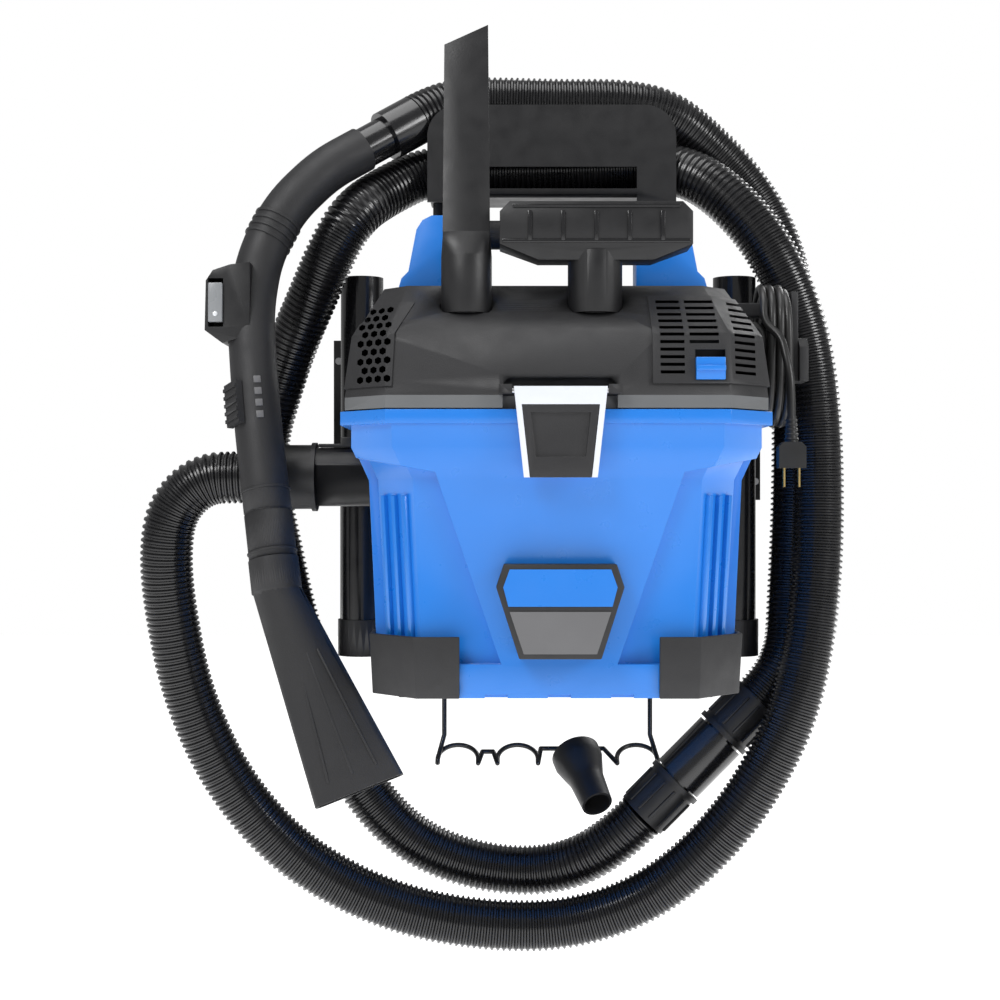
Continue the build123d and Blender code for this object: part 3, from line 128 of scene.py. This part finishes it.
def addNode(tree, kind, **values):
    node = tree.nodes.new(kind)
    for key, value in values.items():
        setattr(node, key, value)
    return node


def buildSkinGroup():
    # moulded skin: fine grain, faint cloudiness and scuffs that change the roughness
    group, start, end = makeGroup(
        "mouldedSkin",
        [("Grain Scale", "NodeSocketFloat", 900.0), ("Cloud Scale", "NodeSocketFloat", 14.0),
         ("Dark", "NodeSocketColor", (0, 0, 0, 1)), ("Light", "NodeSocketColor", (1, 1, 1, 1)),
         ("Rough Low", "NodeSocketFloat", 0.3), ("Rough High", "NodeSocketFloat", 0.5)],
        [("Color", "NodeSocketColor"), ("Roughness", "NodeSocketFloat"),
         ("Height", "NodeSocketFloat")])
    place = addNode(group, "ShaderNodeTexCoord")
    cloud = addNode(group, "ShaderNodeTexNoise")
    grain = addNode(group, "ShaderNodeTexNoise")
    scuff = addNode(group, "ShaderNodeTexNoise")
    cloud.inputs["Detail"].default_value = 3.0
    grain.inputs["Detail"].default_value = 2.0
    scuff.inputs["Scale"].default_value = 60.0
    scuff.inputs["Detail"].default_value = 6.0
    mix = addNode(group, "ShaderNodeMix", data_type="RGBA")
    rough = addNode(group, "ShaderNodeMapRange")
    link = group.links.new
    for texture in (cloud, grain, scuff):
        link(place.outputs["Object"], texture.inputs["Vector"])
    link(start.outputs["Cloud Scale"], cloud.inputs["Scale"])
    link(start.outputs["Grain Scale"], grain.inputs["Scale"])
    link(cloud.outputs["Fac"], mix.inputs["Factor"])
    link(start.outputs["Dark"], mix.inputs["A"])
    link(start.outputs["Light"], mix.inputs["B"])
    link(mix.outputs["Result"], end.inputs["Color"])
    link(scuff.outputs["Fac"], rough.inputs["Value"])
    link(start.outputs["Rough Low"], rough.inputs["To Min"])
    link(start.outputs["Rough High"], rough.inputs["To Max"])
    rough.inputs["From Min"].default_value = 0.3
    rough.inputs["From Max"].default_value = 0.7
    link(rough.outputs["Result"], end.inputs["Roughness"])
    link(grain.outputs["Fac"], end.inputs["Height"])
    return group


skinGroup = buildSkinGroup()

# name: dark colour, light colour, low and high roughness, grain scale, bump, metal, coat
finishes = {
    "blueTankPlastic": ((0.008, 0.165, 0.60), (0.014, 0.195, 0.68), 0.26, 0.38, 700, 0.04, 0, 0.25),
    "blackPlastic": ((0.004, 0.004, 0.005), (0.009, 0.009, 0.010), 0.38, 0.52, 900, 0.10, 0, 0.0),
    "charcoalGrain": ((0.011, 0.011, 0.012), (0.018, 0.018, 0.020), 0.48, 0.62, 1100, 0.30, 0, 0.0),
    "lidCharcoal": ((0.013, 0.013, 0.014), (0.020, 0.020, 0.022), 0.46, 0.60, 1000, 0.32, 0, 0.0),
    "paleStrip": ((0.10, 0.105, 0.11), (0.15, 0.155, 0.16), 0.40, 0.52, 900, 0.08, 0, 0.0),
    "glossBlack": ((0.005, 0.005, 0.006), (0.010, 0.010, 0.011), 0.14, 0.24, 500, 0.02, 0, 0.3),
    "hoseBlack": ((0.004, 0.004, 0.005), (0.011, 0.011, 0.012), 0.22, 0.34, 600, 0.03, 0, 0.2),
    "silverPlastic": ((0.62, 0.65, 0.70), (0.74, 0.77, 0.82), 0.26, 0.36, 800, 0.04, 0, 0.2),
    "greySilver": ((0.20, 0.21, 0.22), (0.28, 0.29, 0.30), 0.24, 0.34, 800, 0.04, 0, 0.2),
    "steel": ((0.42, 0.42, 0.43), (0.56, 0.56, 0.57), 0.24, 0.40, 400, 0.05, 1, 0.0),
    "fanAluminium": ((0.62, 0.63, 0.64), (0.74, 0.75, 0.76), 0.28, 0.42, 400, 0.05, 1, 0.0),
    "coatedWire": ((0.006, 0.006, 0.006), (0.014, 0.014, 0.014), 0.26, 0.40, 300, 0.08, 0, 0.2),
    "sealRubber": ((0.010, 0.010, 0.010), (0.020, 0.020, 0.020), 0.62, 0.80, 500, 0.10, 0, 0.0),
    "cordJacket": ((0.007, 0.007, 0.007), (0.016, 0.016, 0.016), 0.34, 0.48, 700, 0.06, 0, 0.1),
    "filterPaper": ((0.70, 0.68, 0.62), (0.84, 0.82, 0.76), 0.80, 0.92, 500, 0.20, 0, 0.0),
    "floatWhite": ((0.74, 0.74, 0.72), (0.84, 0.84, 0.82), 0.30, 0.42, 500, 0.04, 0, 0.0),
    "boardGreen": ((0.02, 0.16, 0.06), (0.04, 0.24, 0.09), 0.34, 0.48, 600, 0.05, 0, 0.0),
    "brass": ((0.62, 0.44, 0.16), (0.76, 0.58, 0.26), 0.20, 0.34, 400, 0.04, 1, 0.0),
    "greyInside": ((0.10, 0.10, 0.105), (0.16, 0.16, 0.165), 0.46, 0.60, 700, 0.06, 0, 0.0),
    "paleLens": ((0.60, 0.62, 0.64), (0.80, 0.82, 0.84), 0.12, 0.20, 200, 0.02, 0, 0.4),
}


def makeFinish(name):
    dark, light, low, high, grain, bump, metal, coat = finishes[name]
    material = bpy.data.materials.new(name)
    material.use_nodes = True
    tree = material.node_tree
    surface = tree.nodes["Principled BSDF"]
    skin = addNode(tree, "ShaderNodeGroup", node_tree=skinGroup)
    skin.inputs["Dark"].default_value = (*dark, 1)
    skin.inputs["Light"].default_value = (*light, 1)
    skin.inputs["Rough Low"].default_value = low
    skin.inputs["Rough High"].default_value = high
    skin.inputs["Grain Scale"].default_value = grain
    relief = addNode(tree, "ShaderNodeBump")
    relief.inputs["Strength"].default_value = bump
    relief.inputs["Distance"].default_value = 0.0006
    surface.inputs["Metallic"].default_value = metal
    surface.inputs["Coat Weight"].default_value = coat
    surface.inputs["Coat Roughness"].default_value = 0.12
    tree.links.new(skin.outputs["Color"], surface.inputs["Base Color"])
    tree.links.new(skin.outputs["Roughness"], surface.inputs["Roughness"])
    tree.links.new(skin.outputs["Height"], relief.inputs["Height"])
    tree.links.new(relief.outputs["Normal"], surface.inputs["Normal"])
    return material


paint = {name: makeFinish(name) for name in finishes}
print("finishes made")


# helpers for pieces
def addPiece(name, data, body, finish, replaced=()):
    piece = bpy.data.objects.new(name, data)
    bpy.context.scene.collection.objects.link(piece)
    data.materials.clear()
    data.materials.append(paint[finish])
    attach(piece, body)
    if replaced:
        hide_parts(*replaced)
    return piece


def meshPiece(name, mesh, body, finish, replaced=(), smoothAngle=35):
    bmesh.ops.recalc_face_normals(mesh, faces=mesh.faces)
    data = bpy.data.meshes.new(name)
    mesh.to_mesh(data)
    mesh.free()
    data.shade_smooth()
    data.set_sharp_from_angle(angle=math.radians(smoothAngle))
    return addPiece(name, data, body, finish, replaced)


def addBlock(mesh, centre, size, turn=None, ease=0.0):
    made = bmesh.ops.create_cube(mesh, size=1.0)["verts"]
    bmesh.ops.scale(mesh, verts=made, vec=size)
    if ease:
        edges = list({edge for vert in made for edge in vert.link_edges})
        made = bmesh.ops.bevel(mesh, geom=edges, offset=ease, offset_type="OFFSET", segments=2,
                               profile=0.5, affect="EDGES", material=-1)["verts"]
    if turn:
        bmesh.ops.rotate(mesh, verts=made, cent=(0, 0, 0), matrix=turn)
    bmesh.ops.translate(mesh, verts=made, vec=centre)


def addRing(mesh, centre, axis, inner, outer, width, steps=48):
    # a rectangle spun round the axis, with eased outer corners
    axis = Vector(axis).normalized()
    turn = axis.to_track_quat("Z", "Y").to_matrix()
    ease = min(width, outer - inner) * 0.25
    outline = [(inner, -width / 2), (outer - ease, -width / 2), (outer, -width / 2 + ease),
               (outer, width / 2 - ease), (outer - ease, width / 2), (inner, width / 2)]
    verts = [mesh.verts.new(turn @ Vector((x, 0, z)) + Vector(centre)) for x, z in outline]
    edges = [mesh.edges.new((a, b)) for a, b in zip(verts, verts[1:] + verts[:1])]
    bmesh.ops.spin(mesh, geom=verts + edges, cent=centre, axis=axis, angle=math.tau,
                   steps=steps, use_merge=True)


def bodyOf(node):
    for name, members in frame["record"]["behaviour"]["bodies"].items():
        if node in members:
            return name


def finished(node, name, finish, ease=0.0, smoothAngle=32):
    # a merged copy of the solid with soft edges and smooth curves
    mesh = bmesh.new()
    mesh.from_mesh(nodes[node].data)
    bmesh.ops.remove_doubles(mesh, verts=mesh.verts, dist=1e-6)
    if ease:
        bmesh.ops.dissolve_limit(mesh, angle_limit=math.radians(0.5), verts=mesh.verts,
                                 edges=mesh.edges)
        sharp = [e for e in mesh.edges if len(e.link_faces) == 2
                 and e.calc_face_angle(0) > math.radians(34)]
        bmesh.ops.bevel(mesh, geom=sharp, offset=ease, offset_type="OFFSET", segments=2,
                        profile=0.5, affect="EDGES", material=-1, clamp_overlap=True)
    data = bpy.data.meshes.new(name)
    mesh.to_mesh(data)
    mesh.free()
    data.shade_smooth()
    data.set_sharp_from_angle(angle=math.radians(smoothAngle))
    return addPiece(name, data, bodyOf(node), finish, (node,))


# hoses and mains cord
hoses = {"radius": 0.02325, "pitch": 0.0052, "groove": 0.0022, "sides": 26}

upperHose = metres([
    (-124, -77, 352), (-96, -64, 370.5), (-50, -62, 372), (10, -62, 370), (70, -60, 371),
    (113, -54, 363), (148, -43, 338), (181, -37, 307), (209, -35, 267), (227, -38, 216),
    (234, -42, 150), (235, -46, 80), (234, -48, 10), (232, -48, -50), (229, -51, -100),
    (226, -59, -138), (211.95, -66, -167.88), (194, -66, -186)])
lowerHose = metres([
    (87, -66, -294), (54, -62, -327.3), (3, -50, -350), (-60, -48, -348),
    (-122, -50, -326), (-167, -50, -284), (-202, -50, -222), (-226, -50, -160),
    (-243, -50, -100), (-255, -48, -45), (-267, -48, 10), (-268, -50, 58),
    (-255, -58, 100), (-239, -70, 145), (-217, -86, 190), (-198, -97, 232),
    (-178, -97, 264), (-152, -72, 287), (-112, -55, 310), (-48, -54, 309),
    (28, -55, 310), (100, -59, 312.5), (136, -79, 301), (168, -91, 274),
    (197, -98, 238), (220, -99, 193), (236, -98, 140), (244, -98, 78),
    (246, -99, 10), (244, -103, -60), (236, -109, -130), (221, -113, -192),
    (198, -111, -243), (167, -106, -292), (125, -100, -338), (75, -96, -372),
    (12, -92, -391), (-55, -93, -391), (-125, -95, -379), (-190, -98, -353),
    (-249, -104, -311), (-297, -112, -248), (-328, -122, -173), (-341, -132, -98),
    (-344, -139, -49), (-338, -142, -8), (-311, -142, 19), (-276, -142, 20.5),
    (-241, -142, 20.5)])


def smoothLine(name, points):
    curve = bpy.data.curves.new(name, "CURVE")
    curve.dimensions = "3D"
    curve.resolution_u = 16
    spline = curve.splines.new("NURBS")
    spline.points.add(len(points) - 1)
    for point, place in zip(spline.points, points):
        point.co = (*place, 1)
    spline.order_u = 3
    spline.use_endpoint_u = True
    return curve


def readLine(name, points):
    holder = bpy.data.objects.new(name + "Line", smoothLine(name, points))
    bpy.context.scene.collection.objects.link(holder)
    bpy.context.view_layer.update()
    data = bpy.data.meshes.new_from_object(holder)
    line = [vert.co.copy() for vert in data.vertices]
    bpy.data.objects.remove(holder)
    bpy.data.meshes.remove(data)
    return line


def lineLength(line):
    return sum((b - a).length for a, b in zip(line, line[1:]))


def alongLine(line, step):
    # places an even step apart along the line
    total = lineLength(line)
    count = max(2, round(total / step))
    step = total / count
    places, walked, target = [line[0].copy()], 0.0, step
    for a, b in zip(line, line[1:]):
        span = (b - a).length
        while span and walked + span >= target - 1e-9 and len(places) < count:
            places.append(a.lerp(b, (target - walked) / span))
            target += step
        walked += span
    places.append(line[-1].copy())
    return places


def sweptTube(places, radii, sides):
    # rings that follow the line without twisting
    mesh = bmesh.new()
    tangent = (places[1] - places[0]).normalized()
    side = tangent.orthogonal().normalized()
    previous = None
    for index, (place, radius) in enumerate(zip(places, radii)):
        ahead = places[min(index + 1, len(places) - 1)] - places[max(index - 1, 0)]
        newTangent = ahead.normalized()
        side = tangent.rotation_difference(newTangent) @ side
        side = (side - newTangent * side.dot(newTangent)).normalized()
        tangent = newTangent
        other = tangent.cross(side)
        ring = [mesh.verts.new(place + (side * math.cos(turn) + other * math.sin(turn)) * radius)
                for turn in (math.tau * k / sides for k in range(sides))]
        if previous:
            for k in range(sides):
                mesh.faces.new((previous[k - 1], previous[k], ring[k], ring[k - 1]))
        else:
            mesh.faces.new(list(reversed(ring)))
        previous = ring
    mesh.faces.new(previous)
    return mesh


def makeHose(name, points, node, body):
    line = readLine(name, points)
    quarter = hoses["pitch"] / 4
    places = alongLine(line, quarter)
    high, low = hoses["radius"], hoses["radius"] - hoses["groove"]
    radii = [(low, high, high, low)[index % 4] for index in range(len(places))]
    mesh = sweptTube(places, radii, hoses["sides"])
    piece = meshPiece(name, mesh, body, "hoseBlack", (node,), 50)
    print(name, "length", round(lineLength(line), 4))
    return piece, line


upperPiece, upperLine = makeHose("upperHose", upperHose, "upper_hose", "bracket")
lowerPiece, lowerLine = makeHose("lowerHose", lowerHose, "lower_hose", "bracket")

mainsCord = {"radius": 0.0035, "turns": 6, "across": (0.1805, 0.2025), "middleY": -0.166,
             "topZ": 0.152, "lowZ": 0.100, "innerR": 0.0275, "outerR": 0.0343, "arcSteps": 6,
             "step": 0.004, "sides": 12}


def windingPoints():
    # oval turns: three side by side, then three over them on the way back
    half, arc = mainsCord["turns"] / 2, mainsCord["arcSteps"]
    top, low = mainsCord["topZ"], mainsCord["lowZ"]
    shape = [(math.pi, (top + low) / 2)]
    shape += [(math.pi + math.pi * k / arc, low) for k in range(arc + 1)]
    shape += [(math.tau, (top + low) / 2)]
    shape += [(math.pi * k / arc, top) for k in range(arc + 1)]
    nearX, farX = mainsCord["across"]
    points = []
    for index in range(mainsCord["turns"] * len(shape)):
        turn = index / len(shape)
        angle, middle = shape[index % len(shape)]
        share = turn / half if turn <= half else 2 - turn / half
        climb = min(1.0, max(0.0, (turn - half + 0.5) * 2))
        radius = mainsCord["innerR"] + (mainsCord["outerR"] - mainsCord["innerR"]) * climb
        points.append((nearX + (farX - nearX) * share,
                       mainsCord["middleY"] + radius * math.cos(angle),
                       middle + radius * math.sin(angle)))
    return points


plugEnd = metres([(194, -208, 140), (197, -215, 124), (200, -219, 107), (201, -220, 89),
                  (201, -220, 71)])
cordStart = metres([(170, -196, 150), (177, -196, 150), (180.8, -195, 142)])
cordPoints = cordStart + windingPoints() + plugEnd
cordLine = readLine("mainsCord", cordPoints)
cordPlaces = alongLine(cordLine, mainsCord["step"])
cordRadii = [mainsCord["radius"]] * len(cordPlaces)
cordMesh = sweptTube(cordPlaces, cordRadii, mainsCord["sides"])
cordPiece = meshPiece("mainsCord", cordMesh, "lid", "cordJacket",
                      ("power_cord", "cord_hank"), 60)
print("hoses and cord made")


# finishes of the solids that stay
# node: piece, finish, ease of its edges
shown = {
    "tank": ("tankBody", "blueTankPlastic", 0.0012),
    "corner_feet": ("tankFeet", "charcoalGrain", 0.0008),
    "tank_badge": ("badgePlate", "charcoalGrain", 0.0008),
    "lid_shell": ("lidTop", "lidCharcoal", 0.0),
    "lid_base": ("lidStrip", "paleStrip", 0.0),
    "vent_panel": ("ventPanel", "charcoalGrain", 0.0),
    "mesh_grille": ("sideGrille", "charcoalGrain", 0.0),
    "handle_frame": ("handleUprights", "blueTankPlastic", 0.0018),
    "handle_grip": ("handleGrip", "blackPlastic", 0.0),
    "power_switch": ("slideSwitch", "blueTankPlastic", 0.0006),
    "cord_hook": ("cordHook", "charcoalGrain", 0.001),
    "latch_frame": ("latchFrame", "silverPlastic", 0.001),
    "latch_insert": ("latchInsert", "charcoalGrain", 0.0006),
    "crevice_tool": ("creviceTool", "blackPlastic", 0.0006),
    "utility_nozzle": ("utilityNozzle", "blackPlastic", 0.0008),
    "blower_nozzle": ("blowerNozzle", "blackPlastic", 0.0),
    "left_wand": ("leftWand", "glossBlack", 0.0),
    "right_wand": ("rightWand", "glossBlack", 0.0),
    "wand_handle": ("wandHandle", "charcoalGrain", 0.0),
    "wand_lower_tube": ("wandTube", "charcoalGrain", 0.0),
    "fan_nozzle": ("fanNozzle", "charcoalGrain", 0.0),
    "handle_cuff": ("handleCuff", "glossBlack", 0.0),
    "remote_housing": ("remotePod", "blackPlastic", 0.0012),
    "remote_button": ("remoteButton", "greySilver", 0.001),
    "bleed_slider": ("bleedSlider", "charcoalGrain", 0.0),
    "coupler_cuffs": ("couplerCuffs", "blackPlastic", 0.0006),
    "hose_coupler": ("hoseCoupler", "glossBlack", 0.0),
    "inlet_cuff": ("inletCuff", "blackPlastic", 0.0006),
    "inlet_spout": ("inletSpout", "blackPlastic", 0.0),
    "inlet_clip": ("inletClip", "blackPlastic", 0.0006),
    "hose_hanger": ("hoseHanger", "blackPlastic", 0.0),
    "wire_rack": ("wireRack", "coatedWire", 0.0),
    "wall_plate": ("wallPlate", "blackPlastic", 0.0),
    "side_columns": ("sideColumns", "blackPlastic", 0.0),
    "cord_relief": ("cordRelief", "cordJacket", 0.0),
    "plug_body": ("plugBody", "cordJacket", 0.0006),
}
kept = {
    "tank_seal": "sealRubber", "bracket_screws": "steel", "tool_posts": "charcoalGrain",
    "lid_screws": "steel", "motor_housing": "blackPlastic", "motor_stator": "steel",
    "motor_bearings": "steel", "motor_shaft": "steel", "armature": "steel",
    "fan_wheels": "fanAluminium", "motor_brushes": "charcoalGrain", "float_cage": "blackPlastic",
    "float_ball": "floatWhite", "filter_cartridge": "filterPaper", "filter_retainer": "blackPlastic",
    "switch_housing": "blackPlastic", "receiver_board": "boardGreen", "plug_blades": "brass",
    "latch_pin": "steel", "remote_battery": "steel",
}
onCords = ("handle_cuff", "coupler_cuffs", "hose_coupler", "inlet_cuff", "cord_relief", "plug_body")
for node, (name, finish, ease) in shown.items():
    if node in onCords:
        kept[node] = finish
        continue
    finished(node, name, finish, ease)
for node, finish in kept.items():
    nodes[node].data.materials.clear()
    nodes[node].data.materials.append(paint[finish])
print("solids finished")

# tank trim
tankTrim = {
    "ribShares": (0.2, 0.5, 0.8), "ribWidth": 0.0045, "ribProud": 0.004, "ribEase": 0.0009,
    "ribTop": 0.004, "ribLow": -0.124, "wallLow": -0.157, "wallTall": 0.173,
    "halfWidth": 0.136, "halfGrows": 0.008, "front": -0.306, "frontGrows": 0.011,
    "corner": 0.0297, "cornerSlope": 1.114, "badgeFront": -0.339, "badgeMiddle": 0.0016,
    "plateProud": 0.0008, "plateSunk": 0.001,
    "upperPlate": ((-0.0395, -0.054), (0.0395, -0.054), (0.0445, -0.068),
                   (0.0405, -0.083), (-0.0405, -0.083), (-0.0445, -0.068)),
    "lowerPlate": ((-0.0395, -0.087), (0.0395, -0.087), (0.0285, -0.120), (-0.0285, -0.120)),
}


def turnFrom(along, across):
    # a turn whose Z follows along and whose X follows across
    along = along.normalized()
    across = (across - along * across.dot(along)).normalized()
    return Matrix((across, along.cross(across), along)).transposed()


def cornerSpot(side, share, height):
    # a place on the set-back corner, from its front edge at share 0
    climb = (height - tankTrim["wallLow"]) / tankTrim["wallTall"]
    half = tankTrim["halfWidth"] + climb * tankTrim["halfGrows"]
    front = tankTrim["front"] - climb * tankTrim["frontGrows"]
    corner = tankTrim["corner"]
    return Vector((side * (half - corner + corner * share),
                   front + corner * tankTrim["cornerSlope"] * share, height))


def plate(mesh, outline, front, back):
    # a flat outline in X and Z, pushed back to a thickness
    face = mesh.faces.new([mesh.verts.new((x, front, z)) for x, z in outline])
    grown = bmesh.ops.extrude_face_region(mesh, geom=[face])["geom"]
    moved = [item for item in grown if isinstance(item, bmesh.types.BMVert)]
    bmesh.ops.translate(mesh, verts=moved, vec=(0, back - front, 0))


def makeTankTrim():
    mesh = bmesh.new()
    for side in (-1, 1):
        for share in tankTrim["ribShares"]:
            low = cornerSpot(side, share, tankTrim["ribLow"])
            top = cornerSpot(side, share, tankTrim["ribTop"])
            across = cornerSpot(side, 1, 0) - cornerSpot(side, 0, 0)
            addBlock(mesh, (low + top) / 2,
                     (tankTrim["ribWidth"], tankTrim["ribProud"] * 2, (top - low).length),
                     turnFrom(top - low, across), tankTrim["ribEase"])
    meshPiece("cornerRibs", mesh, "bracket", "blueTankPlastic")
    for name, outline, slotName, finish in (
            ("badgeUpper", "upperPlate", "blue_plastic", "blueTankPlastic"),
            ("badgeLower", "lowerPlate", "charcoal_plastic", "greyInside")):
        mesh = bmesh.new()
        plate(mesh, [(tankTrim["badgeMiddle"] + x, z) for x, z in tankTrim[outline]],
              tankTrim["badgeFront"] - tankTrim["plateProud"],
              tankTrim["badgeFront"] + tankTrim["plateSunk"])
        meshPiece(name, mesh, "bracket", finish)


makeTankTrim()


# stored nozzle, remote and wand trim
nozzleTrim = {
    "middleX": 0.0314, "frontY": -0.3072, "ribPitch": 0.0265, "ribZ": 0.2185,
    "rib": (0.0035, 0.0026, 0.024), "ribEase": 0.0008, "railEase": 0.0007,
    "rails": ((0.2065, (0.150, 0.0022, 0.003)), (0.2345, (0.134, 0.0022, 0.0025))),
}
remoteTrim = {
    "lensRadius": 0.0022, "lensFlat": 0.5, "lensPlace": (-0.2915, -0.1889, 0.161),
    "stripPlace": (-0.3009, -0.172, 0.169), "strip": (0.0016, 0.006, 0.036),
    "stripEase": 0.0005,
}
wandTrim = {
    "inner": 0.0198,
    "bandTop": (-0.238, -0.128, 0.263), "bandFoot": (-0.259, -0.143, 0.217),
    "bandSteps": (-0.0105, -0.0035, 0.0035, 0.0105), "bandOuter": 0.0218, "bandWidth": 0.0026,
    "tubeTop": (-0.2478, -0.199, 0.019), "tubeFoot": (-0.2378, -0.2151, -0.0504),
    "tubeSteps": (0.012, 0.066), "tubeOuter": 0.0215, "tubeWidth": 0.002,
    "marksTop": (-0.259, -0.178, 0.104), "marksFoot": (-0.254, -0.189, 0.062),
    "marksFace": (0.25, -1, 0), "marks": 4, "firstMark": 0.006, "markPitch": 0.0105,
    "markLift": 0.0204, "mark": (0.0062, 0.0016, 0.0062), "markEase": 0.0004,
}
fanTrim = {
    "start": (-0.2378, -0.2151, -0.0504), "mouth": (-0.161, -0.258, -0.240),
    "startShare": 0.42, "endShare": 0.93, "startGap": 0.009, "endGap": 0.021,
    "startLift": 0.0163, "sideDrop": 0.0010, "endLift": 0.0112, "rib": 0.0022, "ease": 0.0006,
}


def makeNozzleTrim():
    trim = nozzleTrim
    mesh = bmesh.new()
    for step in range(-2, 3):
        addBlock(mesh, (trim["middleX"] + step * trim["ribPitch"], trim["frontY"], trim["ribZ"]),
                 trim["rib"], None, trim["ribEase"])
    for height, size in trim["rails"]:
        addBlock(mesh, (trim["middleX"], trim["frontY"], height), size, None, trim["railEase"])
    meshPiece("nozzleRibs", mesh, "utility_nozzle_body", "glossBlack")


def makeRemoteTrim():
    trim = remoteTrim
    lens = bmesh.new()
    bmesh.ops.create_uvsphere(lens, u_segments=20, v_segments=12, radius=trim["lensRadius"])
    bmesh.ops.scale(lens, verts=lens.verts, vec=(1, trim["lensFlat"], 1))
    bmesh.ops.translate(lens, verts=lens.verts, vec=trim["lensPlace"])
    meshPiece("remoteLight", lens, "remote_button_body", "paleLens")
    strip = bmesh.new()
    addBlock(strip, trim["stripPlace"], trim["strip"], None, trim["stripEase"])
    meshPiece("remoteStrip", strip, "bracket", "silverPlastic")


def makeWandTrim():
    trim = wandTrim
    mesh = bmesh.new()
    high, low = Vector(trim["bandTop"]), Vector(trim["bandFoot"])
    axis = (low - high).normalized()
    for step in trim["bandSteps"]:
        addRing(mesh, (high + low) / 2 + axis * step, axis, trim["inner"], trim["bandOuter"],
                trim["bandWidth"])
    start, end = Vector(trim["tubeTop"]), Vector(trim["tubeFoot"])
    axis = (end - start).normalized()
    for step in trim["tubeSteps"]:
        addRing(mesh, start + axis * step, axis, trim["inner"], trim["tubeOuter"],
                trim["tubeWidth"])
    meshPiece("wandRings", mesh, "bracket", "charcoalGrain")
    marks = bmesh.new()
    top, foot = Vector(trim["marksTop"]), Vector(trim["marksFoot"])
    along = (foot - top).normalized()
    out = Vector(trim["marksFace"])
    out = (out - along * out.dot(along)).normalized()
    for step in range(trim["marks"]):
        reach = trim["firstMark"] + step * trim["markPitch"]
        centre = top + along * reach + out * trim["markLift"]
        addBlock(marks, centre, trim["mark"], turnFrom(along, out.cross(along)), trim["markEase"])
    meshPiece("wandMarks", marks, "bracket", "greyInside")


def makeFanTrim():
    trim = fanTrim
    start, mouth = Vector(trim["start"]), Vector(trim["mouth"])
    axis = (mouth - start).normalized()
    flat = (Vector((1, 0, 0)) - axis * axis.x).normalized()
    out = flat.cross(axis)
    if out.y > 0:
        out.negate()
    mesh = bmesh.new()
    for lane in (-1, 0, 1):
        begin = (start.lerp(mouth, trim["startShare"]) + flat * lane * trim["startGap"]
                 + out * (trim["startLift"] - abs(lane) * trim["sideDrop"]))
        finish = (start.lerp(mouth, trim["endShare"]) + flat * lane * trim["endGap"]
                  + out * trim["endLift"])
        addBlock(mesh, (begin + finish) / 2, (trim["rib"], trim["rib"], (finish - begin).length),
                 turnFrom(finish - begin, flat), trim["ease"])
    meshPiece("fanRibs", mesh, "fan_nozzle_body", "charcoalGrain")


makeNozzleTrim()
makeRemoteTrim()
makeWandTrim()
makeFanTrim()


# coupler and plug trim
couplerTrim = {"start": (0.194, -0.066, -0.186), "end": (0.087, -0.066, -0.294), "ribs": 12,
               "lift": 0.0247, "rib": (0.0028, 0.003, 0.034), "ease": 0.0007,
               "high": 0.021, "low": 0.131}
plugTrim = {"x": 0.201, "y": -0.220, "lowest": 0.0515, "pitch": 0.004, "rings": 5,
            "inner": 0.0038, "outer": 0.0062, "taper": 0.00029, "width": 0.0018, "steps": 24}


def makeCouplerRibs(name, distance):
    trim = couplerTrim
    start, end = Vector(trim["start"]), Vector(trim["end"])
    axis = (end - start).normalized()
    side = axis.orthogonal().normalized()
    mesh = bmesh.new()
    for step in range(trim["ribs"]):
        out = Matrix.Rotation(math.tau * step / trim["ribs"], 3, axis) @ side
        addBlock(mesh, start + axis * distance + out * trim["lift"], trim["rib"],
                 turnFrom(axis, axis.cross(out)), trim["ease"])
    meshPiece(name, mesh, "bracket", "blackPlastic")


def makePlugRibs():
    trim = plugTrim
    mesh = bmesh.new()
    for step in range(trim["rings"]):
        height = trim["lowest"] + step * trim["pitch"]
        outer = trim["outer"] - step * trim["taper"]
        addRing(mesh, (trim["x"], trim["y"], height), (0, 0, 1), trim["inner"], outer,
                trim["width"], trim["steps"])
    meshPiece("plugRibs", mesh, "lid", "cordJacket")


makeCouplerRibs("couplerRibsHigh", couplerTrim["high"])
makeCouplerRibs("couplerRibsLow", couplerTrim["low"])
makePlugRibs()
print("trim made")
